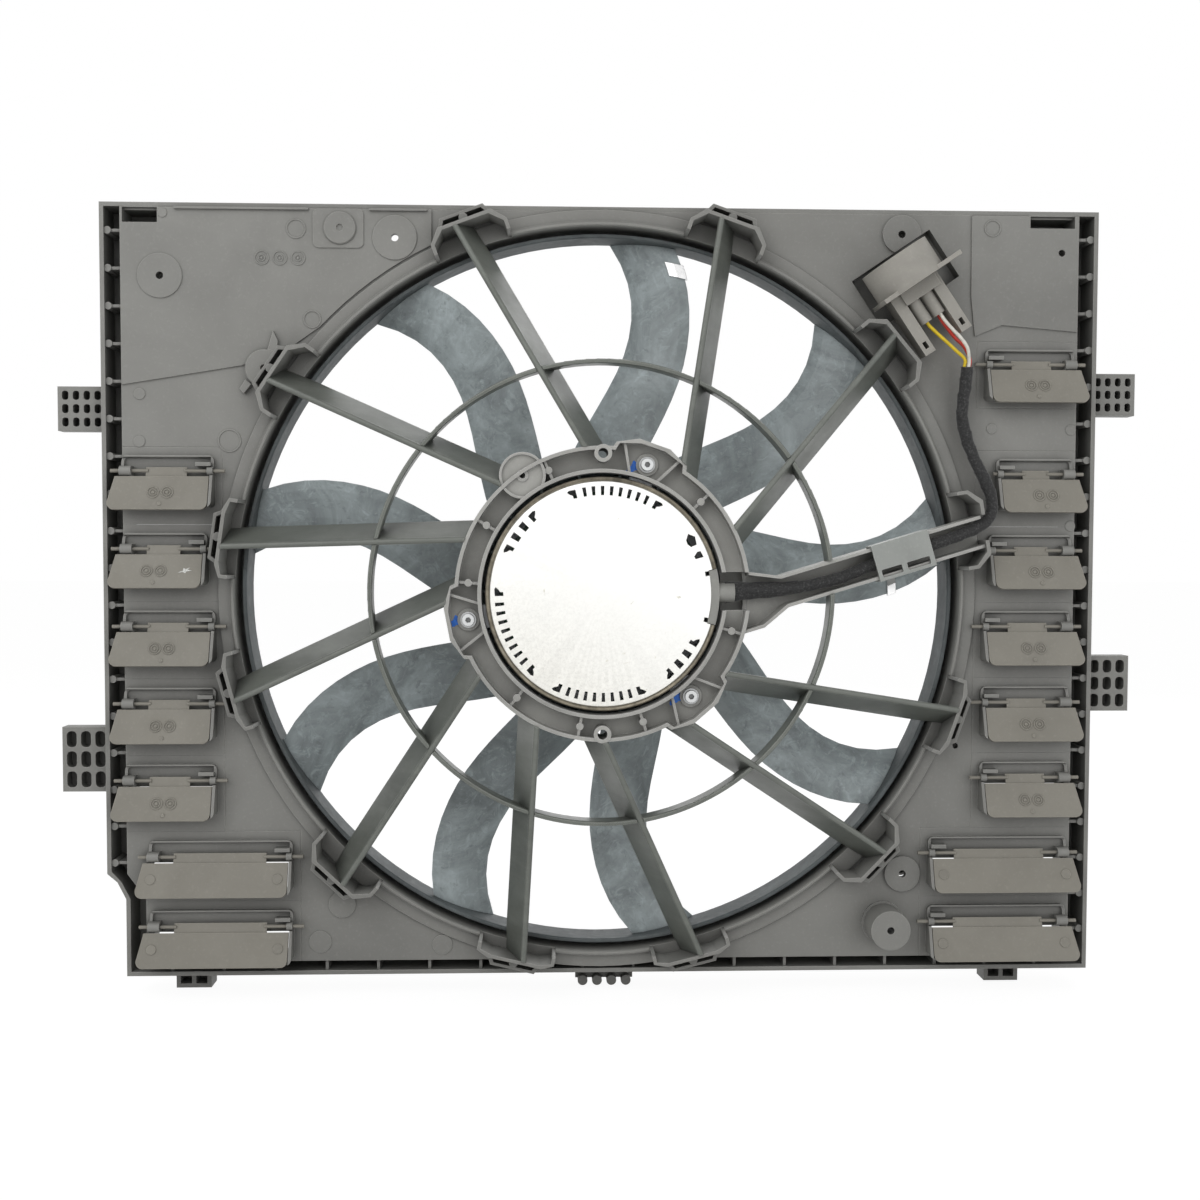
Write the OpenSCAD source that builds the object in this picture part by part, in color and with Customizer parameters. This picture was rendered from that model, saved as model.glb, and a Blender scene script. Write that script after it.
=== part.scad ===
// Radiator fan module of a large car: moulded shroud, ringed fan, brushless motor and ram-air flaps.
// The model is drawn lying down, with x to the right, y up and z towards the engine, and is then
// stood upright. The origin is on the fan axis, in the plane where the shroud meets the radiator.

/* [Shroud] */
// Bore of the barrel to the left edge
margin_left = 91.9; // [91:0.1:105]
// Bore of the barrel to the right edge
margin_right = 97.9; // [97:0.1:110]
// Bore of the barrel to the top edge
margin_top = 14.4; // [13.9:0.1:30]
// Bore of the barrel to the bottom edge
margin_bottom = 16.9; // [16:0.1:30]
// Radiator seal to the front of the plate
panel_depth = 45; // [44:0.5:50]
// Thickness of the plate
plate_t = 2.5; // [2:0.1:3.5]
// Thickness of the outer skirt
skirt_t = 3; // [2:0.1:4]
// Width of the ribbed channel inside the skirt
channel_w = 11; // [9:0.5:13]
// Depth of the ribbed channel below the plate's front
channel_depth = 25; // [18:1:32]
// Thickness of channel floor, channel wall and ribs
rib_t = 2; // [1.5:0.1:2.5]
// Distance between channel ribs
rib_pitch = 26; // [18:1:40]
// Width of the step in the bottom left corner
notch_w = 13; // [8:1:16]
// Height of the step in the bottom left corner
notch_h = 58; // [50:1:70]

/* [Orifice] */
// Inner radius of the round barrel
barrel_r = 255.1; // [254.6:0.1:256]
// Wall of the barrel
barrel_wall = 2.9; // [2:0.1:3.5]
// Height of the collar above the plate
collar_h = 7; // [5:0.5:9]
// Radiator seal to the back edge of the barrel
barrel_back = 6; // [3:0.5:8]
// Width of the flange that lies on the plate
flange_w = 9; // [7:0.5:10]
// Thickness of the flange
flange_t = 2.2; // [1.5:0.1:3]
// Height of the vane bays above the plate
bay_h = 26; // [22:1:30]
// Reach of a roomy vane bay beyond the barrel's bore
bay_out = 16.4; // [15:0.1:17]
// Reach of a tight vane bay beyond the barrel's bore
tight_bay_out = 9; // [8.5:0.1:10]
// Depth of the two cells behind a vane bay
cell_w = 7.5; // [6:0.1:8]
// Height of the cells behind a vane bay above the plate
cell_h = 16; // [12:0.5:20]
// Width of a vane bay at its mouth
bay_w = 50; // [44:1:56]
// Wall of a vane bay
bay_wall = 2.4; // [1.8:0.1:3]

/* [Stator] */
// Distance from the fan axis to the line of each vane's front edge
vane_offset = 39.5; // [34:0.5:44]
// Depth of a vane
vane_depth = 26; // [20:0.5:28]
// Sideways lean of a vane over its depth
vane_lean = 12; // [6:0.5:14]
// Thickness of a vane
vane_t = 2.6; // [2:0.1:3.4]
// Radius of the bead along a vane's front edge
vane_bead_r = 2.1; // [1.6:0.1:2.6]
// Radius of the guard ring
guard_r = 157.6; // [150:0.5:165]
// Thickness of the guard ring
guard_t = 2.2; // [1.6:0.1:3]
// Depth of the guard ring
guard_depth = 17; // [12:0.5:20]

/* [Motor carrier] */
// Radiator seal to the front of the carrier ring
carrier_front = 90; // [88:0.5:96]
// Gap between the motor cover and the carrier ring
carrier_gap = 2.5; // [2:0.1:4]
// Width of the carrier ring
carrier_width = 18; // [17:0.5:21]
// Wall of the carrier ring
carrier_wall = 2.5; // [2:0.1:3]
// Depth of the carrier ring's outer wall
carrier_depth = 28; // [24:0.5:30]
// Front of the carrier ring down to its web
carrier_web_down = 11.5; // [10:0.5:13]
// Inside of the carrier ring to the middle of a motor screw
screw_in = 10.7; // [10:0.1:11.5]
// Angle of the first motor screw
screw_angle = 71; // [66:1:76]
// Radius of a motor screw's thread
screw_r = 2.5; // [2:0.1:3]
// Radius of a motor screw's head
screw_head_r = 5.5; // [4.5:0.1:6]
// Radius of a handling eyelet's hole
eyelet_hole_r = 3.4; // [2.5:0.1:4]

/* [Motor] */
// Radius of the silver motor cover
cover_r = 79.5; // [79:0.1:81]
// Sheet thickness of the motor cover
cover_t = 1.2; // [0.8:0.1:1.6]
// Wall of the motor housing
housing_wall = 2.5; // [2:0.1:3]
// Depth of the housing's electronics space
housing_depth = 30; // [28:1:32]
// Radius of the motor shaft
shaft_r = 4; // [3.5:0.1:4.5]
// Outer radius of a ball bearing
bearing_r = 11; // [10:0.1:12]
// Width of a ball bearing
bearing_w = 7; // [6:0.5:8]
// Outer radius of the stator core
core_r = 47.2; // [44:0.1:48]
// Number of stator teeth
tooth_count = 12; // [9:3:15]
// Thickness of the rotor magnets
magnet_t = 2.8; // [2:0.1:3.2]
// Air gap between stator and magnets
air_gap = 0.8; // [0.5:0.1:1.2]
// Thickness of the rotor cup's steel
rotor_t = 2; // [1.5:0.1:2.5]
// Number of rotor magnets
magnet_count = 10; // [8:2:14]
// Radial clearance of the shaft in its bearings
shaft_play = 0.03; // [0.01:0.01:0.08]

/* [Fan] */
// Number of blades
blade_count = 9; // [9]
// Outer radius of the fan hub
hub_r = 94; // [90:0.5:97]
// Running gap between the fan's ring and the barrel
fan_gap = 1.3; // [1:0.1:2.5]
// Lip at the back of the fan's ring
band_lip = 2.7; // [2:0.1:3.5]
// Thickness of the fan's ring
band_t = 2.6; // [2:0.1:3]
// Radiator seal to the back of the fan's ring
band_back = 14; // [12:0.5:16]
// Radiator seal to the front of the fan's ring
band_front = 43; // [40:0.5:44]
// Chord angle of a blade at its tip
tip_chord_angle = 10.6; // [10:0.1:12]
// Chord angle of a blade at its root
root_chord_angle = 31; // [26:0.5:32]
// Rise of a blade along the axis at its tip
tip_rise = 15; // [10:0.5:18]
// Rise of a blade along the axis at its root
root_rise = 27; // [22:0.5:30]
// Thickness of a blade in the middle
blade_t = 2.6; // [2:0.1:3.4]

/* [Flaps] */
// Width of a small flap
small_w = 72; // [66:0.5:74]
// Width of a large flap
large_w = 108.5; // [100:0.5:112]
// Hinge axis to the lower edge of a flap, along the flap
flap_len = 28.5; // [26:0.5:30]
// Thickness of a flap
flap_t = 2; // [1.6:0.1:2.4]
// Lean of a closed flap
flap_lean = 18; // [14:0.5:20]
// Radius of a flap's hinge pin
pin_r = 1.3; // [1:0.1:1.6]
// Radial clearance of a hinge pin in its ear
pin_play = 0.06; // [0.03:0.01:0.1]
// Height of the lowest hinges above the bottom edge
lowest_row = 36.5; // [36:0.5:40]
// Distance between the hinges of small flaps
small_pitch = 54; // [52:0.5:56]
// Distance from the last small hinge to the first large hinge
large_step = 54; // [52:0.5:56]
// Distance between the hinges of large flaps
large_pitch = 49.5; // [47:0.5:51]
// Distance from the extra hinge in the right column to the next one
extra_step = 77; // [70:0.5:80]

/* [Cable] */
// Radius of the taped cable
cable_r = 4.4; // [4:0.1:5]
// Radius of a lead wire
wire_r = 1.2; // [1:0.1:1.4]
// Width of the cable duct inside
duct_w = 18; // [15:0.5:20]
// Height of the cable duct's walls
duct_h = 15; // [12:0.5:17]
// Angle of the cable duct
duct_angle = 16.3; // [14:0.1:18]
// Radius of the connector's round socket
socket_r = 25; // [23:0.5:27]
// Length of the connector's round socket
socket_len = 24; // [20:0.5:28]

/* [Mounting] */
// Depth of the side brackets
bracket_depth = 12; // [8:1:16]
// Wall of the bracket's lattice
bracket_wall = 2; // [1.5:0.1:2.5]
// Radius of a plate boss
boss_r = 15.4; // [12:0.1:16]
// Radius of the hole in a plate boss
boss_hole_r = 2.6; // [2:0.1:3.2]

/* [Hidden] */
$fn = 72;
// Clearance between moulded pieces that are seated on each other
seat_gap = 0.1;
// Overshoot of a cut beyond the face that it opens
over = 1;
plate_back = panel_depth - plate_t;
barrel_out_r = barrel_r + barrel_wall;
flange_r = barrel_out_r + flange_w;
panel_left = barrel_r + margin_left;
panel_right = barrel_r + margin_right;
panel_top = barrel_r + margin_top;
panel_bottom = barrel_r + margin_bottom;
panel_w = panel_left + panel_right;
floor_z = panel_depth + flange_t;
bay_top = panel_depth + bay_h;
carrier_in_r = cover_r + carrier_gap;
carrier_out_r = carrier_in_r + carrier_width;
screw_circle_r = carrier_in_r + screw_in;
band_r = barrel_r - fan_gap - band_lip - band_t;
// Directions in which the vanes run out, from the right and counter-clockwise
vane_turns = [120.3, 80.8, 49.9, -9.4, -33.9, -65.8, -93.2, -123.1, -154.9, 181.7, 155.9];
bay_turn = asin((vane_offset + 0.4 * vane_lean) / barrel_r);
duct_line = 33;
duct_bay = duct_angle - asin((duct_line - 4.2) / barrel_r);
bay_angles = concat([for (a = vane_turns) a - bay_turn], [duct_bay]);
// Bays beside a flap or at the lower edge are tight, and two have no cells behind them
tight_bays = [3, 5, 6, 8, 9];
plain_bays = [2, 11];
function listed(i, list) = len([for (k = list) if (k == i) k]) > 0;
function bay_reach(i) = barrel_r + (listed(i, tight_bays) ? tight_bay_out : bay_out);
roomy_reach = barrel_r + bay_out;
vane_start = sqrt(pow(carrier_out_r, 2) - pow(vane_offset, 2));
vane_length = roomy_reach - vane_start + over;
vane_slope = atan((carrier_front - bay_top) / (roomy_reach - carrier_out_r));
guard_front = carrier_front - (guard_r - carrier_out_r) * tan(vane_slope) - 0.5;
carrier_back = carrier_front - carrier_depth;
web_front = carrier_front - carrier_web_down;
web_t = 2.5;
lug_t = 6;
eyelet_circle_r = carrier_out_r - 5;
eyelet_wall = 2.6;
lug_front = web_front - web_t;
housing_r = cover_r - cover_t - seat_gap;
housing_front = carrier_front - 4;
housing_back = housing_front - housing_depth;
housing_floor = 3;
tube_back = 20;
tube_r = bearing_r + 4;
bearing_front_z = housing_back - bearing_w;
bearing_rear_z = tube_back + 2;
core_back = 26;
core_front = 46;
magnet_in_r = core_r + air_gap;
rotor_in_r = magnet_in_r + magnet_t;
rotor_back = 16;
rotor_front = core_front + 4;
hub_back = 8;
hub_front = 44;
hub_disc_t = 3;
hub_wall = 3;
hub_screw_circle = 30;
hub_screw_r = 2;

// Stands the lying model upright, with the engine side towards the front
module upright() {
    rotate([90, 0, 0]) children();
}

// Outline of the shroud, drawn in by a margin, with the step in its bottom left corner
function shroud_outline(in) = [
    [-panel_left + in, panel_top - in],
    [-panel_left + in, -panel_bottom + notch_h + 15 + in / 2],
    [-panel_left + 7 + in, -panel_bottom + notch_h + 9],
    [-panel_left + notch_w + in, -panel_bottom + notch_h - 3],
    [-panel_left + notch_w + in, -panel_bottom + in],
    [panel_right - in, -panel_bottom + in],
    [panel_right - in, panel_top - in]];

// Outline of the plate inside the ribbed channel, which the top edge doesn't have
function plate_outline(in) = [
    [-panel_left + skirt_t + channel_w + in, panel_top - skirt_t - in],
    [-panel_left + skirt_t + channel_w + in, -panel_bottom + notch_h + 15],
    [-panel_left + skirt_t + channel_w + notch_w + in, -panel_bottom + notch_h - 3],
    [-panel_left + skirt_t + channel_w + notch_w + in, -panel_bottom + skirt_t + channel_w - 4 + in],
    [panel_right - skirt_t - channel_w - in, -panel_bottom + skirt_t + channel_w - 4 + in],
    [panel_right - skirt_t - channel_w - in, panel_top - skirt_t - in]];

// A rectangle from one corner to the other with round corners
module rounded_rect(low, high, r) {
    translate([low[0] + r, low[1]]) square([high[0] - low[0] - 2 * r, high[1] - low[1]]);
    translate([low[0], low[1] + r]) square([high[0] - low[0], high[1] - low[1] - 2 * r]);
    for (x = [low[0] + r, high[0] - r], y = [low[1] + r, high[1] - r])
        translate([x, y]) circle(r);
}

// Flaps: hinge heights, outer edges and widths, from the top down
upper_large_row = -panel_bottom + lowest_row + large_pitch;
left_rows = concat([for (i = [4:-1:0]) upper_large_row + large_step + i * small_pitch],
    [upper_large_row, upper_large_row - large_pitch]);
right_rows = concat([left_rows[0] + extra_step], left_rows);
// Height of the plate tile that carries each flap, and the top of a tile above its hinge
tile_up = 17;
tile_side = 4;
extra_tile_h = 47;
left_tiles = concat([for (i = [0:3]) small_pitch], [large_step, large_pitch, large_pitch]);
right_tiles = concat([extra_tile_h], left_tiles);
flap_overhang = 7;
frame_wall = 2;
frame_h = 3.5;
frame_above = 11;
frame_below = 25.5;
sill = 5;
ear_w = 4;
ear_r = 2.8;
outer_ear = 8;
outer_ear_r = 3.5;
blade_top = 4.3;
notch_len = 18;
hinge_z = panel_depth + 5.5;
function left_width(i) = i < 5 ? small_w : large_w;
function right_width(i) = i < 6 ? small_w : large_w;
function left_low(i) = -panel_left + skirt_t + 4 + (i < 5 ? 0 : notch_w + 3);
function right_low(i) = panel_right - skirt_t - 7 - right_width(i);
// The flaps beside a vane bay and beside the cable are a little narrower
left_trim = [0, 5, 0, 0, 0, 0, 0];
right_trim = [0, 9, 4, 0, 0, 0, 0, 0];
// Flap: outer or left edge, width, hinge height, side, tile height, tile edge and trim
left_flaps = [for (i = [0:6]) [left_low(i), left_width(i) - left_trim[i], left_rows[i], 1,
    left_tiles[i], left_low(i) + left_width(i) + tile_side, left_trim[i]]];
right_flaps = [for (i = [0:7]) [right_low(i) + right_trim[i], right_width(i) - right_trim[i],
    right_rows[i], -1,
    right_tiles[i], right_low(i) - tile_side, right_trim[i]]];
all_flaps = concat(left_flaps, right_flaps);
// Low and high edge of the frame under a flap: the flap overhangs it on its outer side
function frame_low(f) = f[3] > 0 ? f[0] + flap_overhang : f[0] + 1;
function frame_high(f) = f[3] > 0 ? f[0] + f[1] - 1 : f[0] + f[1] - flap_overhang;

// Plate bosses: x, y, radius and hole radius
plate_bosses = [
    [-panel_left + 41.5, panel_top - 50.5, boss_r, boss_hole_r],
    [-panel_left + 203.5, panel_top - 23, boss_r, boss_hole_r],
    [panel_right - 141, panel_top - 17.3, boss_r - 1.9, boss_hole_r],
    [panel_right - 135.5, -panel_bottom + 70, boss_r - 2.6, boss_hole_r],
    [panel_right - 149, -panel_bottom + 35, boss_r, boss_hole_r]];
boss_rise = 2;
tall_boss_rise = 24;
square_boss = [[-panel_left + 147, panel_top - 30.5], [-panel_left + 182, panel_top - 3.5]];
// Small round holes and flat discs in the plate: x, y and radius
small_holes = [[panel_right - 26.5, panel_top - 29.2, 2.4], [panel_right - 97.8, -110, 2]];
flat_discs = [[-panel_left + 164.6, -panel_bottom + 50.4, 9.5],
    [-panel_left + 115.8, panel_top - 115.7, 9]];
disc_rise = 1;
// Fields of the plate that lie higher: their outlines end at the collar, the bays and the recess
field_rise = 1.2;
edge_in = skirt_t + channel_w + 0.5;
left_field = [[-panel_left + edge_in, panel_top - 125.7], [-panel_left + 97.4, panel_top - 111.9],
    [-panel_left + 130, panel_top - 100], [-panel_left + 229, panel_top - 30],
    [-panel_left + 229, panel_top - skirt_t - 0.5], [-panel_left + edge_in, panel_top - skirt_t - 0.5]];
right_field = [[panel_right - 88, panel_top - 88], [panel_right - 68.8, panel_top - 80],
    [panel_right - edge_in, panel_top - 84.5], [panel_right - edge_in, panel_top - skirt_t - 0.5],
    [panel_right - 91, panel_top - skirt_t - 0.5], [panel_right - 91, panel_top - 60]];
// Open cells in the top corners: low corner and size
corner_cells = [[[-panel_left + 16, panel_top - 14], [24, 10.5]],
    [[panel_right - 49.4, panel_top - 12], [32, 8.5]]];
// Thin lips along the top edge: start and end
top_lips = [[-panel_left + 52, -panel_left + 144], [-panel_left + 186, -panel_left + 226]];

module flap_window(f) {
    rounded_rect([frame_low(f) + frame_wall, f[2] - frame_below + frame_wall],
        [frame_high(f) - frame_wall, f[2] - sill], 2);
}

// Part of the plate that carries one flap, grown by a margin
module flap_tile(f, grow) {
    tile_w = 140;
    translate([f[3] > 0 ? f[5] - tile_w : f[5] - grow, f[2] + tile_up - f[4] - grow])
        square([tile_w + grow, f[4] + 2 * grow]);
}

module raised_fields() {
    translate([0, 0, panel_depth - over]) linear_extrude(field_rise + over) difference() {
        union() {
            polygon(left_field);
            polygon(right_field);
        }
        circle(flange_r + 2, $fn = 180);
        for (i = [0:len(bay_angles) - 1]) rotate([0, 0, bay_angles[i]]) {
            bay_plan(bay_wall + 1, bay_reach(i));
            cell_plan(1, bay_reach(i));
        }
    }
    for (lip = top_lips)
        translate([lip[0], panel_top - skirt_t - 1.8, panel_depth - over])
            cube([lip[1] - lip[0], 1.4, over + 3]);
}

module shroud_panel() {
    color("dimgray") upright() {
        difference() {
            union() {
                translate([0, 0, plate_back]) linear_extrude(plate_t) difference() {
                    polygon(plate_outline(0));
                    for (f = all_flaps) flap_tile(f, seat_gap / 2);
                }
                raised_fields();
                for (b = plate_bosses)
                    translate([b[0], b[1], panel_depth - over])
                        cylinder(r = b[2], h = boss_rise + over);
                for (d = flat_discs)
                    translate([d[0], d[1], panel_depth - over])
                        cylinder(r = d[2], h = disc_rise + over);
                translate([plate_bosses[4][0], plate_bosses[4][1], panel_depth - over])
                    cylinder(r = boss_r - 1.5, h = tall_boss_rise + over);
                translate([0, 0, panel_depth - over])
                    linear_extrude(boss_rise + over) rounded_rect(square_boss[0], square_boss[1], 4);
            }
            translate([0, 0, plate_back - over])
                cylinder(r = barrel_out_r + seat_gap, h = tall_boss_rise + 2 * over, $fn = 240);
            for (b = plate_bosses)
                translate([b[0], b[1], plate_back - over])
                    cylinder(r = b[3], h = tall_boss_rise + plate_t + 2 * over);
            translate([0, 0, panel_depth + 0.05])
                cylinder(r = flange_r + 0.5, h = tall_boss_rise, $fn = 180);
            translate([0, 0, plate_back - over]) linear_extrude(plate_t + boss_rise + 2 * over) {
                connector_recess_outline(0);
                for (c = corner_cells) translate(c[0]) square(c[1]);
                for (h = small_holes) translate([h[0], h[1]]) circle(h[2]);
            }
            for (i = [0:len(bay_angles) - 1]) rotate([0, 0, bay_angles[i]])
                translate([0, 0, panel_depth + 0.05]) linear_extrude(tall_boss_rise) {
                    bay_plan(bay_wall + seat_gap, bay_reach(i));
                    if (!listed(i, plain_bays)) cell_plan(seat_gap, bay_reach(i));
                }
        }
        connector_recess();
    }
}

// The ribbed channel runs down both sides and along the bottom, inside the skirt
module perimeter_frame() {
    floor_low = panel_depth - channel_depth;
    color("dimgray") upright() {
        linear_extrude(panel_depth) difference() {
            polygon(shroud_outline(0));
            polygon(shroud_outline(skirt_t));
        }
        translate([0, 0, floor_low]) linear_extrude(rib_t) difference() {
            polygon(shroud_outline(skirt_t - 0.5));
            polygon(plate_outline(rib_t));
        }
        translate([0, 0, floor_low]) linear_extrude(plate_back - floor_low) difference() {
            polygon(plate_outline(0));
            polygon(plate_outline(rib_t));
        }
        side_ribs(floor_low);
        for (c = corner_cells)
            translate([c[0][0] - rib_t, c[0][1] - rib_t, floor_low]) difference() {
                cube([c[1][0] + 2 * rib_t, c[1][1] + 2 * rib_t - 0.2, plate_back - floor_low]);
                translate([rib_t, rib_t, rib_t]) cube([c[1][0], c[1][1], channel_depth]);
            }
    }
}

module side_ribs(floor_low) {
    rib_rows = floor((panel_top + panel_bottom - notch_h - 40) / rib_pitch);
    difference() {
        union() {
            for (i = [0:rib_rows]) {
                y = panel_top - 20 - i * rib_pitch;
                translate([-panel_left + skirt_t - 0.5, y, floor_low])
                    cube([channel_w + 1, rib_t, plate_back - floor_low]);
                translate([-panel_left + skirt_t + 2, y + rib_t / 2, floor_low])
                    cylinder(r = 2.6, h = plate_back - floor_low + 1);
            }
            for (i = [0:rib_rows + 2]) {
                y = panel_top - 20 - i * rib_pitch;
                translate([panel_right - skirt_t - channel_w - 0.5, y, floor_low])
                    cube([channel_w + 1, rib_t, plate_back - floor_low]);
                translate([panel_right - skirt_t - 2, y + rib_t / 2, floor_low])
                    cylinder(r = 2.6, h = plate_back - floor_low + 1);
            }
            for (i = [0:floor((panel_w - 60) / (1.4 * rib_pitch))])
                translate([-panel_left + notch_w + 30 + i * 1.4 * rib_pitch, -panel_bottom
                    + skirt_t - 0.5, floor_low])
                    cube([rib_t, channel_w - 3.5, plate_back - floor_low]);
        }
        translate([0, 0, floor_low - over]) linear_extrude(panel_depth) polygon(plate_outline(rib_t));
    }
}

// Plan of a vane bay, grown by a margin, with x pointing away from the fan axis
module bay_plan(grow, reach) {
    mouth = bay_w / 2 + grow;
    back = bay_w / 3 + grow;
    corner = barrel_out_r + 0.22 * (reach - barrel_out_r) + 0.4 * max(grow, 0);
    polygon([[barrel_r - 8, -mouth], [corner, -mouth], [reach - bay_wall + grow, -back],
        [reach - bay_wall + grow, back], [corner, mouth], [barrel_r - 8, mouth]]);
}

// Plan of the two cells behind a vane bay
module cell_plan(grow, reach) {
    near = bay_w / 3 + bay_wall + 3 + grow;
    far = bay_w / 3 - 1 + grow;
    polygon([[reach - 5, -near], [reach + cell_w + grow, -far], [reach + cell_w + grow, far],
        [reach - 5, near]]);
}

module orifice_barrel() {
    color("dimgray") upright() difference() {
        rotate_extrude($fn = 240) polygon([
            [barrel_r + 1, barrel_back], [barrel_out_r, barrel_back],
            [barrel_out_r, panel_depth], [flange_r, panel_depth],
            [flange_r, floor_z], [barrel_out_r + 1.5, floor_z],
            [barrel_out_r, floor_z + 1.5], [barrel_out_r, panel_depth + collar_h - 1],
            [barrel_out_r - 1, panel_depth + collar_h], [barrel_r + 0.8, panel_depth + collar_h],
            [barrel_r, panel_depth + collar_h - 1], [barrel_r, barrel_back + 3]]);
        for (i = [0:len(bay_angles) - 1])
            rotate([0, 0, bay_angles[i]]) translate([0, 0, floor_z]) linear_extrude(bay_h)
                bay_plan(bay_wall + seat_gap, bay_reach(i));
    }
}

// Bays that take the vanes' ends: each is a wall round the opening in the collar, with two cells behind it
module vane_bay(i) {
    reach = bay_reach(i);
    base = panel_depth + seat_gap;
    difference() {
        union() {
            translate([0, 0, base]) linear_extrude(bay_top - base) bay_plan(bay_wall, reach);
            if (!listed(i, plain_bays)) translate([0, 0, base]) bay_cells(reach);
        }
        translate([0, 0, base - over]) linear_extrude(bay_h + 3 * over) bay_plan(0, reach);
        translate([0, 0, base - over]) cylinder(r = flange_r + seat_gap, h = flange_t + over, $fn = 240);
        translate([0, 0, base - over]) cylinder(r = barrel_r + barrel_wall / 4, h = bay_h + 3 * over,
            $fn = 240);
    }
}

module bay_cells(reach) {
    pad_at = [reach + (cell_w - rib_t) / 2, 0, 0];
    difference() {
        linear_extrude(cell_h) cell_plan(0, reach);
        difference() {
            translate([0, 0, -over]) linear_extrude(cell_h + 2 * over) cell_plan(-rib_t, reach);
            translate([0, 0, -2 * over]) linear_extrude(cell_h + 4 * over) bay_plan(bay_wall - 0.3, reach);
            translate(pad_at - [cell_w / 2, 0.8, 2]) cube([cell_w, 1.6, cell_h + 4]);
        }
    }
    translate(pad_at) cylinder(r = 3.1, h = cell_h + 0.8, $fn = 32);
}

module vane_bays() {
    color("dimgray") upright() for (i = [0:len(bay_angles) - 1])
        difference() {
            rotate([0, 0, bay_angles[i]]) vane_bay(i);
            if (i == 11) duct_passage();
        }
}

// Where the cable leaves the barrel's bay through its outer wall
module duct_passage() {
    rotate([0, 0, duct_bay]) translate([barrel_out_r + 4, -duct_w / 2, floor_z + 2])
        cube([40, duct_w, bay_h]);
}

// Sloping wall of a vane: in its section, x is sideways and y is along the fan axis
module vane_wall(half) {
    polygon([[-half, 0.5], [half, 0.5], [half - vane_lean, -vane_depth], [-half - vane_lean, -vane_depth]]);
}

// Extrudes a section along the front edge of the vane that runs out in this direction
module vane_path(direction) {
    rotate([0, 0, direction])
        translate([vane_start - 4, -vane_offset, carrier_front + 0.4])
            rotate([0, vane_slope, 0])
                rotate([90, 0, 90]) linear_extrude(vane_length + 12) children();
}

module stator_vanes() {
    color("dimgray") upright()
        for (i = [0:len(vane_turns) - 1])
            difference() {
                intersection() {
                    vane_path(vane_turns[i]) {
                        vane_wall(vane_t / 2);
                        translate([0, -vane_bead_r / 2]) circle(vane_bead_r, $fn = 24);
                    }
                    translate([0, 0, floor_z + seat_gap]) linear_extrude(carrier_front) {
                        circle(barrel_r - 2, $fn = 240);
                        rotate([0, 0, bay_angles[i]]) bay_plan(-seat_gap, bay_reach(i));
                    }
                }
                carrier_envelope();
            }
}

// Space that the motor carrier takes, which the vanes and the duct end against
module carrier_envelope() {
    translate([0, 0, carrier_back - 20])
        cylinder(r = carrier_out_r + seat_gap, h = carrier_depth + 40, $fn = 180);
    for (i = [0:2])
        rotate([0, 0, screw_angle + 120 * i]) translate([0, 0, carrier_back - 20])
            linear_extrude(carrier_depth + 40) lug_plan(seat_gap);
    for (a = [90, 270])
        rotate([0, 0, a]) translate([eyelet_circle_r, 0, carrier_back - 20])
            cylinder(r = eyelet_hole_r + eyelet_wall + seat_gap, h = carrier_depth + 40);
    translate([tag_at[0], tag_at[1], carrier_front - tag_depth - seat_gap])
        cylinder(r = tag_r + seat_gap, h = 20);
}

module guard_ring() {
    color("dimgray") upright() {
        difference() {
            rotate_extrude($fn = 180) {
                translate([guard_r - guard_t / 2, guard_front - guard_depth])
                    square([guard_t, guard_depth]);
                translate([guard_r, guard_front - 1.6]) circle(1.7, $fn = 24);
            }
            for (a = vane_turns)
                vane_path(a) {
                    vane_wall(vane_t / 2 + seat_gap);
                    translate([-vane_bead_r - seat_gap, -2 * vane_bead_r])
                        square([2 * vane_bead_r + 2 * seat_gap, 4 * vane_bead_r]);
                }
            duct_space();
        }
    }
}

// Plan of a screw lug on the carrier ring, with x pointing away from the fan axis
module lug_plan(grow) {
    polygon([[carrier_out_r - 8, -27 - grow], [carrier_out_r, -25 - grow],
        [carrier_out_r + 7 + grow, -11 - grow],
        [carrier_out_r + 7 + grow, 11 + grow], [carrier_out_r, 25 + grow], [carrier_out_r - 8, 27 + grow]]);
}

module motor_carrier() {
    bore_h = carrier_depth + 2 * over;
    color("dimgray") upright() difference() {
        union() {
            difference() {
                union() {
                    carrier_ring();
                    carrier_lugs();
                }
                for (i = [0:2])
                    rotate([0, 0, screw_angle + 120 * i]) {
                        translate([0, 0, web_front]) linear_extrude(carrier_depth) lug_plan(-carrier_wall);
                        translate([0, 0, carrier_back - over])
                            linear_extrude(lug_front - carrier_back + over) lug_plan(-carrier_wall);
                    }
            }
            for (i = [0:2])
                rotate([0, 0, screw_angle + 120 * i]) translate([screw_circle_r, 0, web_front - over])
                    cylinder(r = screw_head_r + 2, h = over + screw_boss_rise);
            carrier_ribs();
            for (a = [90, 270])
                rotate([0, 0, a]) translate([eyelet_circle_r, 0, carrier_back + lug_step])
                    cylinder(r = eyelet_hole_r + eyelet_wall, h = carrier_depth);
            tag_disc();
        }
        for (i = [0:2])
            rotate([0, 0, screw_angle + 120 * i]) translate([screw_circle_r, 0, carrier_back])
                cylinder(r = screw_r + 0.3, h = carrier_depth);
        for (a = [90, 270])
            rotate([0, 0, a]) translate([eyelet_circle_r, 0, carrier_back - over])
                cylinder(r = eyelet_hole_r, h = bore_h);
        cable_gate();
    }
}

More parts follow.
